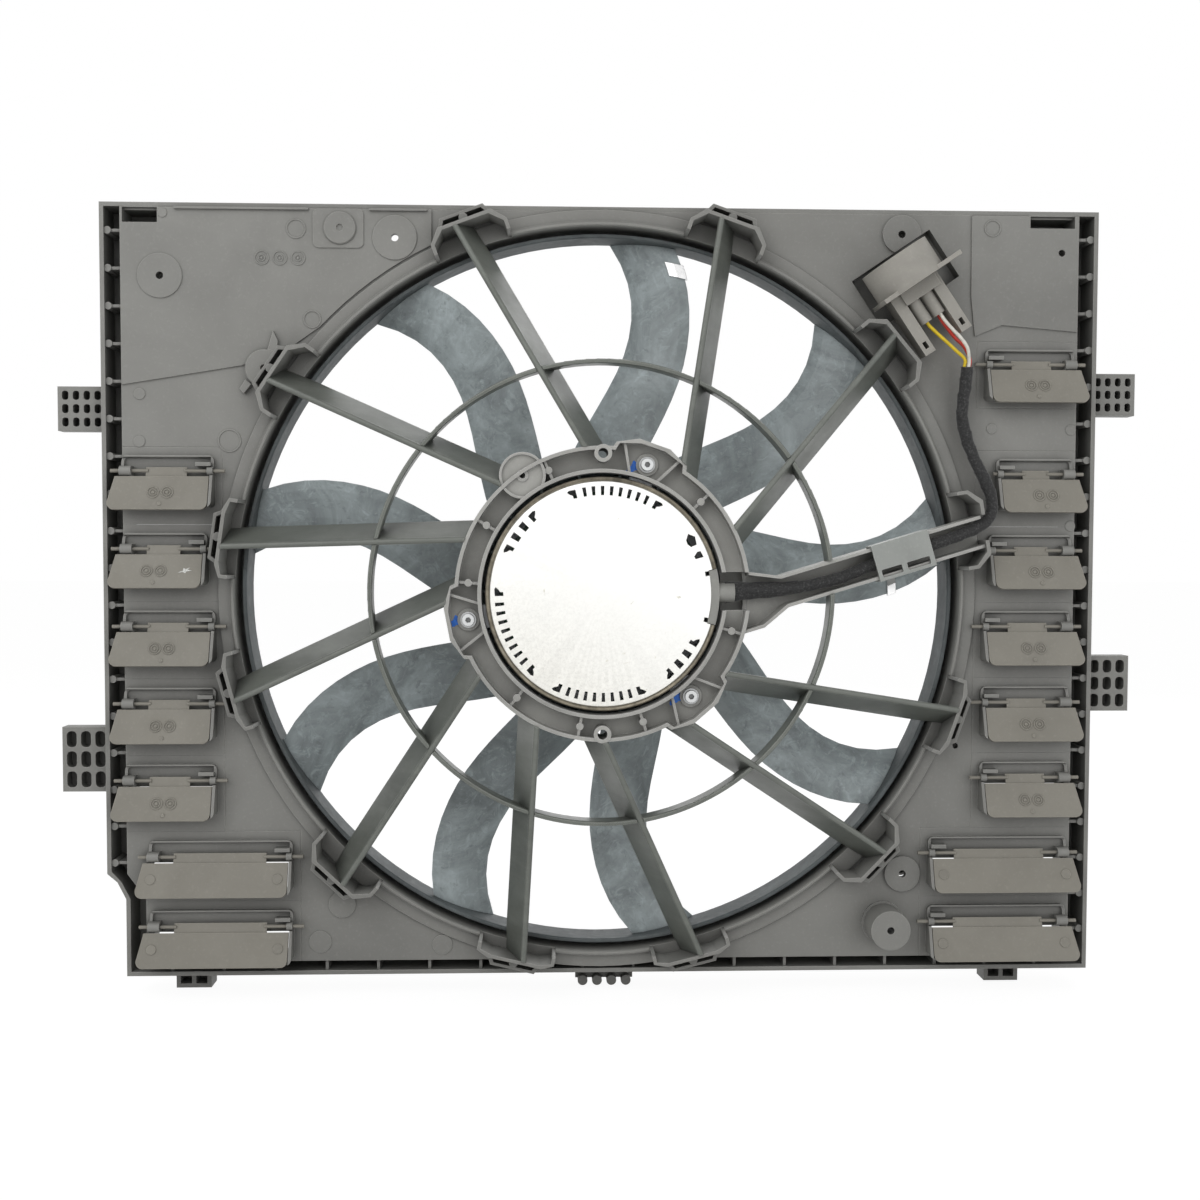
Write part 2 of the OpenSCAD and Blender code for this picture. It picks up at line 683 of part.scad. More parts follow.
// Carrier ring as one revolved section: outer wall, web and inner wall
module carrier_ring() {
    outer = carrier_out_r - carrier_wall;
    inner = carrier_in_r + carrier_wall;
    rotate_extrude($fn = 180) polygon([
        [carrier_out_r, carrier_back], [carrier_out_r, carrier_front], [outer, carrier_front],
            [outer, web_front],
        [inner, web_front], [inner, carrier_front], [carrier_in_r, carrier_front],
            [carrier_in_r, lug_front],
        [outer, lug_front], [outer, carrier_back]]);
}

// Screw lugs outside the ring
lug_step = 0.4;
lug_rib = 21;
screw_boss_rise = 2;
module carrier_lugs() {
    difference() {
        for (i = [0:2])
            rotate([0, 0, screw_angle + 120 * i]) translate([0, 0, carrier_back + lug_step])
                linear_extrude(carrier_depth - 2 * lug_step) lug_plan(0);
        translate([0, 0, carrier_back - over])
            cylinder(r = carrier_out_r - carrier_wall / 2, h = carrier_depth + 2 * over, $fn = 180);
    }
}

module carrier_ribs() {
    rib_turn = -6.5;
    screw_room = 9;
    rib_h = carrier_web_down + web_t - 3.5;
    rib_angles = [for (a = vane_turns) a + rib_turn];
    for (a = rib_angles) if (abs((a - screw_angle + 420) % 120 - 60) > screw_room)
        rotate([0, 0, a]) {
            translate([carrier_in_r + 1, -0.9, lug_front + 1]) cube([carrier_width - 2, 1.8, rib_h]);
            translate([carrier_in_r + carrier_width / 2, 0, lug_front + 1])
                cylinder(r = 2.5, h = rib_h + 0.8, $fn = 32);
        }
    for (i = [0:2], side = [-1, 1])
        rotate([0, 0, screw_angle + 120 * i]) translate([carrier_in_r + 1, side * 9.5, lug_front + 1])
            rotate([0, 0, side * 28]) translate([0, -0.9, 0]) cube([lug_rib, 1.8, rib_h - 1]);
}

// Round tag plate on the carrier's rim
tag_angle = 124.2;
tag_at = (carrier_out_r - 3.5) * [cos(tag_angle), sin(tag_angle)];
tag_r = 15.7;
tag_depth = 4;
module tag_disc() {
    translate([tag_at[0], tag_at[1], carrier_front - tag_depth]) difference() {
        union() {
            difference() {
                cylinder(r = tag_r, h = tag_depth - 0.6);
                translate([0, 0, 1.4]) cylinder(r = tag_r - 1.7, h = tag_depth);
            }
            cylinder(r = 4, h = tag_depth - 1.6);
        }
        translate([0, 0, -over]) cylinder(r = 2, h = 2 * tag_depth);
        translate([-tag_at[0], -tag_at[1], -over])
            cylinder(r = carrier_in_r + carrier_wall / 4, h = 2 * tag_depth);
    }
}

// Opening through which the cable leaves the motor
module cable_gate() {
    translate([70, -11, cable_z - cable_r - 3]) cube([45, 26, 40]);
}

// Cable duct in the place of the twelfth vane: a trough with a funnel at the motor
duct_wall = 2.2;
duct_mouth = 17.5;
duct_floor_z = 72;
module duct_plan(grow) {
    half = duct_w / 2 + grow;
    mouth = duct_mouth + grow;
    start = carrier_in_r + 2;
    funnel = carrier_out_r - 2;
    neck = funnel + 20;
    end = roomy_reach + 18.5;
    polygon([[start, -mouth], [funnel, -mouth], [neck, -half], [end, -half], [end, half], [neck, half],
        [funnel, mouth], [start, mouth]]);
}

module duct_frame() {
    rotate([0, 0, duct_angle]) translate([0, -duct_line, duct_floor_z])
        translate([carrier_out_r - 5, 0, 0]) rotate([0, vane_slope, 0])
            translate([5 - carrier_out_r, 0, 0]) children();
}

module duct_space() {
    duct_frame() translate([0, 0, -duct_wall - 1]) linear_extrude(40) duct_plan(duct_wall + seat_gap);
}

module cable_duct() {
    color("dimgray") upright()
        difference() {
            intersection() {
                duct_frame() difference() {
                    translate([0, 0, -duct_wall]) linear_extrude(duct_h + duct_wall) duct_plan(duct_wall);
                    linear_extrude(duct_h + over) duct_plan(0);
                }
                translate([0, 0, floor_z + seat_gap]) linear_extrude(carrier_front) {
                    circle(barrel_r - 2, $fn = 240);
                    rotate([0, 0, duct_bay]) bay_plan(-seat_gap, roomy_reach);
                }
            }
            carrier_envelope();
        }
}

// Bridge clip that snaps over the duct's walls and holds the cable down
clip_start = 185;
clip_len = 42;
module duct_clip() {
    color("darkslategray") upright() duct_frame() translate([clip_start, 0, 0]) {
        difference() {
            translate([0, -duct_w / 2 - duct_wall - 1.6, duct_h - 9])
                cube([clip_len, duct_w + 2 * duct_wall + 3.2, 11]);
            translate([-over, -duct_w / 2 - duct_wall - seat_gap, duct_h - 9 - over])
                cube([clip_len + 2 * over, duct_w + 2 * duct_wall + 2 * seat_gap, 9 + over]);
        }
    }
}

// Louver frames: a tile of the plate, a raised rim, slanted cheeks and two ears for the pins of the flap
module flap_frame(f) {
    low = frame_low(f);
    high = frame_high(f);
    rim_low = f[2] - frame_below;
    rim_high = f[2] + frame_above;
    cheek = f[3] > 0 ? high - frame_wall : low - 5;
    difference() {
        union() {
            translate([0, 0, plate_back]) linear_extrude(plate_t) intersection() {
                polygon(plate_outline(0));
                flap_tile(f, -seat_gap / 2);
            }
            translate([0, 0, panel_depth - over]) linear_extrude(20)
                rounded_rect([low, rim_low], [high, rim_high], 4);
        }
        translate([0, 0, plate_back - over]) linear_extrude(plate_t + 2 * over) flap_window(f);
        translate([0, 0, panel_depth]) linear_extrude(30)
            rounded_rect([low + frame_wall, rim_low + frame_wall],
                [high - frame_wall, rim_high - frame_wall], 2);
        translate([low - 5, f[2] - 3, panel_depth + frame_h]) cube([high - low + 10, frame_above + 10, 40]);
        translate([0, f[2], hinge_z]) rotate([-flap_lean, 0, 0]) {
            translate([f[3] > 0 ? low - 5 : low + frame_wall, -60, -flap_t / 2 - 0.3])
                cube([high - low + 5 - frame_wall, 70, 40]);
            translate([cheek, -60, flap_t / 2 + 0.5]) cube([frame_wall + 5, 70, 40]);
        }
    }
    ear(f, f[3] > 0 ? low : high - outer_ear, outer_ear, outer_ear_r);
    ear(f, f[3] > 0 ? high - ear_w : low, ear_w, ear_r);
    translate([f[3] > 0 ? high - 12 : low + frame_wall - 0.5, f[2] + 3.4, panel_depth - over])
        cube([12.5 - frame_wall, 2.6, hinge_z - panel_depth + 1.6 + over]);
}

module ear(f, x, w, r) {
    difference() {
        union() {
            translate([x, f[2] - r, panel_depth - over / 2])
                cube([w, 2 * r, hinge_z - panel_depth + over / 2]);
            translate([x, f[2], hinge_z]) rotate([0, 90, 0]) cylinder(r = r, h = w, $fn = 48);
        }
        translate([x - over, f[2], hinge_z]) rotate([0, 90, 0])
            cylinder(r = pin_r + pin_play, h = w + 2 * over, $fn = 32);
    }
}

module flap_frames() {
    color("dimgray") upright() for (f = all_flaps) flap_frame(f);
}

// Plan of a flap in the left column: the outer end slants, the inner one runs close inside the frame
module flap_plan(w) {
    round_r = 5;
    polygon([[0, -blade_top], [4 - w, -blade_top], [-w, round_r - flap_len], [round_r - w, -flap_len],
        [-round_r, -flap_len], [0, round_r - flap_len]]);
    for (x = [-round_r, round_r - w])
        translate([x, round_r - flap_len]) circle(round_r, $fn = 48);
}

// A flap: plate, recessed hinge strip and a pin at each end
module flap(f) {
    side = f[3];
    inner = side > 0 ? frame_high(f) : frame_low(f);
    outer = side > 0 ? f[0] : f[0] + f[1];
    edge = inner - side * (frame_wall + 0.6);
    beyond = f[6] > 0 ? 3 : 8;
    strip_in = inner - side * notch_len;
    strip_out = (side > 0 ? frame_low(f) : frame_high(f)) + side * notch_len;
    strip = [min(strip_in, strip_out), abs(strip_in - strip_out)];
    color("gray") upright() translate([0, f[2], hinge_z]) {
        rotate([-flap_lean, 0, 0]) translate([0, 0, -flap_t / 2]) {
            linear_extrude(flap_t) translate([edge, 0]) mirror([side > 0 ? 0 : 1, 0])
                flap_plan(abs(edge - outer));
            translate([strip[0], -blade_top - 0.8, 0])
                cube([strip[1], blade_top + 0.8 + 2.6, flap_t - 0.7]);
        }
        pin(outer + side * 0.5, strip_out + side * 1.5);
        pin(strip_in - side * 1.5, inner + side * beyond);
    }
}

module pin(from, to) {
    translate([min(from, to), 0, 0]) rotate([0, 90, 0]) cylinder(r = pin_r, h = abs(to - from), $fn = 32);
}

module left_flap(i) {
    flap(left_flaps[i]);
}

module right_flap(i) {
    flap(right_flaps[i]);
}

// Side brackets: centre height, width out of the skirt, height, columns and rows of slots
left_brackets = [[128, 33, 31, 4, 3], [-119, 33, 46, 3, 3]];
right_brackets = [[142, 32, 30, 4, 3], [-66, 31, 40, 3, 3]];
bracket_z = 24;
module lattice(w, h, columns, rows) {
    cell_w = (w - (columns + 1) * bracket_wall) / columns;
    cell_h = (h - (rows + 1) * bracket_wall) / rows;
    difference() {
        square([w, h]);
        for (c = [0:columns - 1], k = [0:rows - 1])
            translate([bracket_wall + c * (cell_w + bracket_wall), bracket_wall + k
                * (cell_h + bracket_wall)])
                square([cell_w, cell_h]);
    }
}

module side_brackets() {
    color("dimgray") upright() {
        for (b = left_brackets)
            translate([-panel_left - b[1], b[0] - b[2] / 2, bracket_z])
                linear_extrude(bracket_depth) lattice(b[1], b[2], b[3], b[4]);
        for (b = right_brackets)
            translate([panel_right, b[0] - b[2] / 2, bracket_z])
                linear_extrude(bracket_depth) lattice(b[1], b[2], b[3], b[4]);
    }
}

// Feet under the shroud and the toothed tab between them
foot_x = [-panel_left + 55.5, panel_right - 56.5];
foot_w = 25;
foot_h = 14;
foot_depth = 16;
tab_w = 42;
tab_teeth = 4;
module bottom_feet() {
    color("dimgray") upright() {
        for (x = foot_x)
            translate([x - foot_w / 2, -panel_bottom - foot_h, 12]) difference() {
                cube([foot_w, foot_h, foot_depth]);
                translate([3, 3, 2.5]) cube([8, foot_h - 5, foot_depth]);
                translate([foot_w - 11, 3, 2.5]) cube([8, foot_h - 5, foot_depth]);
            }
        translate([4.5 - tab_w / 2, -panel_bottom - 12, 16]) {
            cube([tab_w, 12, 3]);
            for (i = [0:tab_teeth - 1])
                translate([(i + 0.5) * tab_w / tab_teeth, 0, 0]) cylinder(r = 3.6, h = 10);
        }
    }
}

// Motor cover: pressed sheet with groups of vent slots: first angle, step, number of slots
vent_groups = [[63, 4.9, 10], [130, 8, 4], [180, 4.7, 11], [245, 4.75, 11], [311, 7, 4], [21.5, 10.3, 2]];
vent_r = 69.5;
gland_low = -15.5;
gland_high = 12.8;
gland_r = cover_r - 6;
module sector(low, high, r) {
    polygon([[0, 0], for (i = [0:6]) let (a = low + (high - low) * i / 6) [r * cos(a), r * sin(a)]]);
}

module motor_cover() {
    color("silver") upright() difference() {
        union() {
            translate([0, 0, housing_front - 6]) cylinder(r = cover_r, h = 6 + cover_t, $fn = 180);
            translate([0, 0, housing_front + cover_t - 0.1]) cylinder(r = cover_r - 3, h = 0.9, $fn = 180);
        }
        translate([0, 0, housing_front - 6 - over])
            cylinder(r = cover_r - cover_t, h = 6 + over, $fn = 180);
        for (g = vent_groups, i = [0:g[2] - 1])
            rotate([0, 0, g[0] + i * g[1]]) translate([vent_r - 2.9, -1.1, housing_front - over])
                cube([5.8, 2.2, 6]);
        translate([0, 0, housing_front - 10]) linear_extrude(20) difference() {
            sector(gland_low, gland_high, cover_r + 10.5);
            circle(gland_r);
        }
    }
}

// Motor housing: electronics space at the front, screw lugs and the bearing tube at the back
module motor_housing() {
    color("darkgray") upright() difference() {
        union() {
            translate([0, 0, housing_back]) cylinder(r = housing_r, h = housing_depth, $fn = 180);
            translate([0, 0, tube_back]) cylinder(r = tube_r, h = housing_back - tube_back + over);
            for (i = [0:2])
                rotate([0, 0, screw_angle + 120 * i]) translate([0, 0, lug_front - lug_t])
                    linear_extrude(lug_t) {
                    translate([screw_circle_r - 18, -8]) square([18, 16]);
                    translate([screw_circle_r - 4, 0]) circle(8);
                }
            for (i = [0:23])
                rotate([0, 0, 15 * i]) translate([24, -1, housing_back - 3]) cube([46, 2, 4]);
        }
        translate([0, 0, housing_back + housing_floor])
            cylinder(r = housing_r - housing_wall, h = housing_depth, $fn = 180);
        translate([0, 0, tube_back - over]) cylinder(r = bearing_r - 2, h = 60);
        translate([0, 0, tube_back - over]) cylinder(r = bearing_r, h = 2 + bearing_w + over);
        translate([0, 0, bearing_front_z]) cylinder(r = bearing_r, h = 30);
        for (i = [0:2])
            rotate([0, 0, screw_angle + 120 * i]) translate([screw_circle_r, 0, lug_front - lug_t - over])
                cylinder(r = screw_r + 0.05, h = lug_t + 2 * over);
        translate([0, 0, cable_z - 8]) linear_extrude(20) difference() {
            sector(gland_low, gland_high, cover_r + 10.5);
            circle(gland_r - seat_gap * 2);
        }
    }
    color("darkgray") upright() for (i = [0:3])
        rotate([0, 0, 45 + 90 * i]) translate([board_r - 8, 0, housing_back + housing_floor - 0.5])
            cylinder(r = 4, h = board_z - housing_back - housing_floor + 0.5);
}

module bearings() {
    color("lightsteelblue") upright() for (z = [bearing_rear_z, bearing_front_z])
        translate([0, 0, z]) difference() {
            cylinder(r = bearing_r - 0.05, h = bearing_w);
            translate([0, 0, -over]) cylinder(r = shaft_r + shaft_play, h = bearing_w + 2 * over);
            for (s = [-0.6, bearing_w - 0.6])
                translate([0, 0, s]) difference() {
                    cylinder(r = bearing_r - 2.2, h = 1.2);
                    translate([0, 0, -over]) cylinder(r = shaft_r + 2, h = 4);
                }
        }
}

module stator_core() {
    color("slategray") upright() translate([0, 0, core_back]) linear_extrude(core_front - core_back)
        difference() {
        union() {
            circle(24);
            for (i = [0:tooth_count - 1]) rotate([0, 0, i * 360 / tooth_count]) {
                translate([20, -3]) square([core_r - 21, 6]);
                intersection() {
                    difference() {
                        circle(core_r);
                        circle(core_r - 3);
                    }
                    translate([30, -9]) square([30, 18]);
                }
            }
        }
        circle(tube_r + 0.05);
    }
}

module windings() {
    color("peru") upright() for (i = [0:tooth_count - 1]) rotate([0, 0, i * 360 / tooth_count])
        difference() {
            translate([28, -5.4, core_back - 2.6]) cube([14, 10.8, core_front - core_back + 5.2]);
            translate([27, -3.1, core_back - 0.1]) cube([16, 6.2, core_front - core_back + 0.2]);
        }
}

board_z = 66;
board_r = housing_r - 8.2;
board_t = 1.6;
module circuit_board() {
    color("seagreen") upright() translate([0, 0, board_z]) difference() {
        union() {
            cylinder(r = board_r, h = board_t, $fn = 120);
            for (i = [0:5]) rotate([0, 0, 30 + 60 * i]) translate([28, -5, board_t - 0.1])
                cube([10, 10, 3]);
            translate([50, -9, board_t - 0.1]) cube([12, 18, 8]);
        }
        translate([0, 0, -over]) cylinder(r = 14, h = 5);
    }
}

module capacitors() {
    color("midnightblue") upright() for (i = [0:2])
        rotate([0, 0, 100 + 40 * i]) translate([52, 0, board_z + board_t]) {
            cylinder(r = 8, h = 13);
            cylinder(r = 7.4, h = 13.6);
        }
}

// Cable route, from the motor to the connector, then the gland and the screws
cable_z = 80;
cable_route = [[77, 1, 80], [92, 2, 80], [110, 3, 79], [131, 4, 77], [161, 10, 73], [186, 19, 70],
    [210, 27, 68],
    [232, 34.5, 66], [250, 40.5, 64], [263, 46, 62], [271.5, 52.5, 61], [274.5, 61, 60], [273, 70, 59.5],
    [269, 80, 59], [264, 90, 58], [259.5, 101, 57], [256, 112, 56], [253.5, 124, 56], [254, 136, 57],
    [255, 148, 59], [255, 158, 61]];
gland_turn = atan2(cable_route[1][1] - cable_route[0][1], cable_route[1][0] - cable_route[0][0]);

// Rings of points swept along a route, each square to the route there
function along(p, i) = let (n = len(p)) p[min(i + 1, n - 1)] - p[max(i - 1, 0)];
function side_of(t) = cross(t, [0, 0, 1]) / norm(cross(t, [0, 0, 1]));
function ring_of(p, i, r, k) = let (t = along(p, i), s = side_of(t), u = cross(s, t) / norm(t))
    [for (j = [0:k - 1]) p[i] + r * cos(360 * j / k) * s + r * sin(360 * j / k) * u];

module tube(route, r, k) {
    n = len(route);
    points = [for (i = [0:n - 1]) each ring_of(route, i, r, k)];
    sides = [for (i = [0:n - 2], j = [0:k - 1])
        [i * k + j, i * k + (j + 1) % k, (i + 1) * k + (j + 1) % k, (i + 1) * k + j]];
    first = [for (j = [0:k - 1]) k - 1 - j];
    last = [for (j = [0:k - 1]) (n - 1) * k + j];
    polyhedron(points, concat([first], sides, [last]));
}

module power_cable() {
    color("black") upright() tube(cable_route, cable_r, 10);
}

wire_routes = [
    [[252.9, 158, 61.6], [252.9, 163, 62.6], [246, 168.5, 65], [240, 173.5, 66], [232.5, 180, 66],
        [226.5, 186, 65.3], [222.9, 191.4, 65]],
    [[255.4, 157.7, 63.3], [255.4, 162.7, 64.3], [253, 170, 68], [248, 176.5, 69.5], [242, 183, 68.6],
        [236.5, 190, 67], [232.2, 197, 66.6]],
    [[256.8, 158.2, 60.5], [256.8, 163.2, 61.5], [252.5, 171.5, 62.3], [246, 177.5, 62.8], [240.5, 184, 63],
        [235.5, 190.5, 63.3], [231.6, 197, 63.4]]];
module lead_wires() {
    color("gold") upright() for (w = wire_routes) tube(w, wire_r, 8);
}

module cable_gland() {
    color("dimgray") upright() difference() {
        union() {
            translate([0, 0, cable_z - 7.9]) linear_extrude(housing_front + cover_t - cable_z + 7.9)
                difference() {
                sector(gland_low + 0.3, gland_high - 0.3, cover_r * 1.02);
                circle(gland_r + seat_gap * 2);
                difference() {
                    circle(2 * cover_r);
                    circle(cover_r - 0.2);
                }
            }
            translate([cover_r - 1.5, 1, cable_z]) rotate([0, 90, 0]) cylinder(r = cable_r + 2.2, h = 12);
        }
        translate(cable_route[0] - [8, 0.5, 0]) rotate([0, 90, gland_turn])
            cylinder(r = cable_r + 0.6, h = 30);
    }
}

module motor_screws() {
    color("silver") upright() for (i = [0:2])
        rotate([0, 0, screw_angle + 120 * i]) translate([screw_circle_r, 0, 0]) {
            translate([0, 0, lug_front - lug_t])
                cylinder(r = screw_r, h = web_front + 2 - lug_front + lug_t + 1);
            translate([0, 0, web_front + 2]) difference() {
                union() {
                    cylinder(r = screw_head_r, h = 1.2);
                    cylinder(r = screw_head_r - 1.4, h = 4);
                }
                translate([0, 0, 1.6]) cylinder(r = 2, h = 4, $fn = 6);
            }
        }
}

// Connector: a round socket lying on its side, with its mouth towards the top left
connector_out = 52.9;
connector_turn = 49.01;
connector_at = (barrel_r + connector_out) * [cos(connector_turn), sin(connector_turn)];
connector_z = 62;
connector_angle = -56;
module connector_frame() {
    translate([connector_at[0], connector_at[1], connector_z]) rotate([0, 0, connector_angle]) children();
}

module connector_recess_outline(grow) {
    translate(connector_at) rotate([0, 0, connector_angle])
        translate([-3 - grow, -socket_r - 3 - grow]) square([39 + 2 * grow, 2 * socket_r + 16 + 2 * grow]);
}

// Recessed floor and walls of the pocket in which the connector lies
module connector_recess() {
    recess_floor = 33;
    difference() {
        translate([0, 0, recess_floor]) linear_extrude(panel_depth - recess_floor)
            connector_recess_outline(2);
        translate([0, 0, recess_floor + 2]) linear_extrude(panel_depth) connector_recess_outline(0);
        translate([0, 0, -over]) cylinder(r = barrel_out_r + seat_gap, h = 100, $fn = 240);
    }
}

socket_wall = 2.5;
socket_floor = socket_len - 4;
tube_ends = [-6, 4.5];
module connector_socket() {
    color("darkslategray") upright() connector_frame() difference() {
        union() {
            rotate([0, 90, 0]) cylinder(r = socket_r, h = socket_len, $fn = 96);
            translate([socket_len - 3, -socket_r - 2, -14]) cube([3, 2 * socket_r + 12, 33]);
        }
        translate([-over, 0, 0]) rotate([0, 90, 0])
            cylinder(r = socket_r - socket_wall, h = socket_floor + over, $fn = 96);
    }
}

module connector_body() {
    color("darkslategray") upright() connector_frame() {
        translate([socket_len, -13, -10]) cube([9, 28, 20]);
        for (y = tube_ends) difference() {
            translate([socket_len + 8, y, 3]) rotate([0, 90, 0]) cylinder(r = 4.6, h = 18, $fn = 32);
            translate([socket_len + 12, y, 3]) rotate([0, 90, 0]) cylinder(r = 3.4, h = 18, $fn = 32);
        }
        for (y = [-16.5, 13.5]) difference() {
            translate([socket_len, y - 4, -6]) cube([45, 8, 14]);
            translate([socket_len + 36, y - 1.5, -10]) cube([5, 3, 30]);
        }
    }
}

module connector_pins() {
    color("goldenrod") upright() connector_frame()
        for (y = [-9, 9], z = [-4, 4]) translate([socket_floor - 11, y - 1, z - 0.4]) cube([11, 2, 0.8]);
}

// Rotor, shaft, hub, blades and ring turn together
module motor_shaft() {
    color("lightgray") upright() translate([0, 0, rotor_back - 4])
        cylinder(r = shaft_r, h = housing_back - rotor_back + 6);
}

module rotor_cup() {
    color("gray") upright() difference() {
        union() {
            translate([0, 0, rotor_back]) cylinder(r = rotor_in_r + rotor_t,
                h = rotor_front - rotor_back, $fn = 120);
            translate([0, 0, rotor_back - 4]) cylinder(r = shaft_r + 4, h = 6);
        }
        translate([0, 0, rotor_back + rotor_t]) cylinder(r = rotor_in_r, h = 60, $fn = 120);
        translate([0, 0, rotor_back - 10]) cylinder(r = shaft_r + 0.05, h = 30);
        for (i = [0:3]) rotate([0, 0, 45 + 90 * i]) translate([hub_screw_circle, 0, rotor_back - over])
            cylinder(r = hub_screw_r + 0.05, h = 10);
    }
}

module rotor_magnets() {
    span = 360 / magnet_count - 4;
    color("dimgray") upright() for (i = [0:magnet_count - 1]) rotate([0, 0, i * 360 / magnet_count])
        translate([0, 0, core_back - 1]) rotate_extrude(angle = span, $fn = 120)
            translate([magnet_in_r, 0]) square([magnet_t - 0.1, core_front - core_back + 2]);
}

module fan_hub() {
    color("slategray") upright() difference() {
        union() {
            translate([0, 0, hub_back]) difference() {
                cylinder(r = hub_r, h = hub_front - hub_back, $fn = 180);
                translate([0, 0, -over]) cylinder(r = hub_r - hub_wall, h = hub_front, $fn = 180);
            }
            translate([0, 0, rotor_back - hub_disc_t]) cylinder(r = hub_r - 1, h = hub_disc_t, $fn = 180);
            for (i = [0:2 * blade_count - 1]) rotate([0, 0, i * 180 / blade_count]) {
                translate([38, -0.9, hub_back + 1]) cube([hub_r - 39, 1.8, rotor_back - hub_back - 1.5]);
                translate([60, -0.9, rotor_back - 0.5]) cube([hub_r - 61, 1.8, 18]);
            }
        }
        translate([0, 0, -over]) cylinder(r = shaft_r + 4 + 0.1, h = 40);
        for (i = [0:3]) rotate([0, 0, 45 + 90 * i]) translate([hub_screw_circle, 0, -over])
            cylinder(r = hub_screw_r + 0.2, h = 40);
    }
}

module hub_screws() {
    color("silver") upright() for (i = [0:3]) rotate([0, 0, 45 + 90 * i])
        translate([hub_screw_circle, 0, 0]) {
        translate([0, 0, rotor_back - hub_disc_t - 3]) cylinder(r = 2 * hub_screw_r, h = 3);
        translate([0, 0, rotor_back - hub_disc_t - 1])
            cylinder(r = hub_screw_r, h = hub_disc_t + rotor_t + 1);
    }
}

// Blade form: the middle line swings back at mid-span and the chord narrows towards the tip
blade_angles = [83, 45.8, 10.5, -32.9, -79, -113.2, -149.5, 168.5, 124.5];
blade_mid_z = 27;
sweep_r = 178;
sweep_back = 6.2;
blade_in_r = hub_r + seat_gap;
blade_out_r = band_r - seat_gap;
span_steps = 12;
chord_steps = 6;
function span_r(i) = blade_in_r + (blade_out_r - blade_in_r) * i / span_steps;
function sweep_of(r) = let (reach = r < sweep_r ? 61 : band_r - sweep_r) sweep_back
    * (pow((r - sweep_r) / reach, 2) - 1);
function inward(r) = pow((band_r - r) / (band_r - hub_r), 2.5);
function half_chord(r) = (tip_chord_angle + (root_chord_angle - tip_chord_angle) * inward(r)) / 2;
function rise_of(r) = tip_rise + (root_rise - tip_rise) * (band_r - r) / (band_r - hub_r);
// Point on a blade: radius, place along the chord from -1 to 1, and side
function blade_point(r, c, side) = let (a = sweep_of(r) - c * half_chord(r),
    z = blade_mid_z + c * rise_of(r) / 2 + 2.5 * (1 - c * c),
    t = blade_t * (1 - 0.65 * pow(c, 4)) * (1 + 0.25 * inward(r)) / 2)
    [r * cos(a), r * sin(a), z + side * t];

// Closed sheet between two grids of points, each with n rows of k points
module sheet_solid(low, high, n, k) {
    size = n * k;
    low_faces = [for (i = [0:n - 2], j = [0:k - 2]) [i * k + j, (i + 1) * k + j, (i + 1) * k + j + 1, i
        * k + j + 1]];
    high_faces = [for (f = low_faces) [size + f[3], size + f[2], size + f[1], size + f[0]]];
    row_ends = [for (i = [0:n - 2]) each [
        [i * k, size + i * k, size + (i + 1) * k, (i + 1) * k],
        [(i + 2) * k - 1, size + (i + 2) * k - 1, size + (i + 1) * k - 1, (i + 1) * k - 1]]];
    column_ends = [for (j = [0:k - 2]) each [
        [j, j + 1, size + j + 1, size + j],
        [size - k + j + 1, size - k + j, 2 * size - k + j, 2 * size - k + j + 1]]];
    polyhedron(concat(low, high), concat(low_faces, high_faces, row_ends, column_ends));
}

module blade() {
    function skin(side) = [for (i = [0:span_steps], j = [0:chord_steps])
        blade_point(span_r(i), 2 * j / chord_steps - 1, side)];
    sheet_solid(skin(-1), skin(1), span_steps + 1, chord_steps + 1);
}

module fan_blades() {
    color("slategray") upright() for (a = blade_angles) rotate([0, 0, a]) blade();
}

module fan_band() {
    flare = 3;
    color("slategray") upright() rotate_extrude($fn = 240) polygon([
        [band_r, band_back + 5], [band_r, band_front - 1], [band_r + 1, band_front],
            [band_r + band_t, band_front],
        [band_r + band_t, band_back + 6], [band_r + band_t + band_lip, band_back + 2.6],
        [band_r + band_t + band_lip, band_back], [band_r + flare, band_back]]);
}

// Balance clips: sheet metal bent round the trailing edge of two blades: blade, radius and width
clips = [[0, band_r - 14.5, 9], [2, band_r - 38.5, 6]];
clip_t = 0.8;
clip_gap = 0.25;
clip_lap = 0.55;
clip_chord = [1 - clip_lap, 1 - clip_lap / 2, 1, 1, 1, 1, 1 - clip_lap / 2, 1 - clip_lap];
// Point of a clip: radius, place along the bend and distance out from the clip's inner skin
function clip_point(r, j, out) = let (side = j < 4 ? 1 : -1,
    p = blade_point(r, clip_chord[j], side),
    beyond = (j == 3 || j == 4) ? 0.6 + out : 0,
    a = atan2(p[1], p[0]))
    p + [beyond * sin(a), -beyond * cos(a), side * (clip_gap + out)];

module balance_clip(r, w) {
    function skin(out) = [for (i = [-1:1], j = [0:7]) clip_point(r + i * w / 2, j, out)];
    sheet_solid(skin(0), skin(clip_t), 3, 8);
}

module balance_clips() {
    color("silver") upright() for (c = clips) rotate([0, 0, blade_angles[c[0]]]) balance_clip(c[1], c[2]);
}

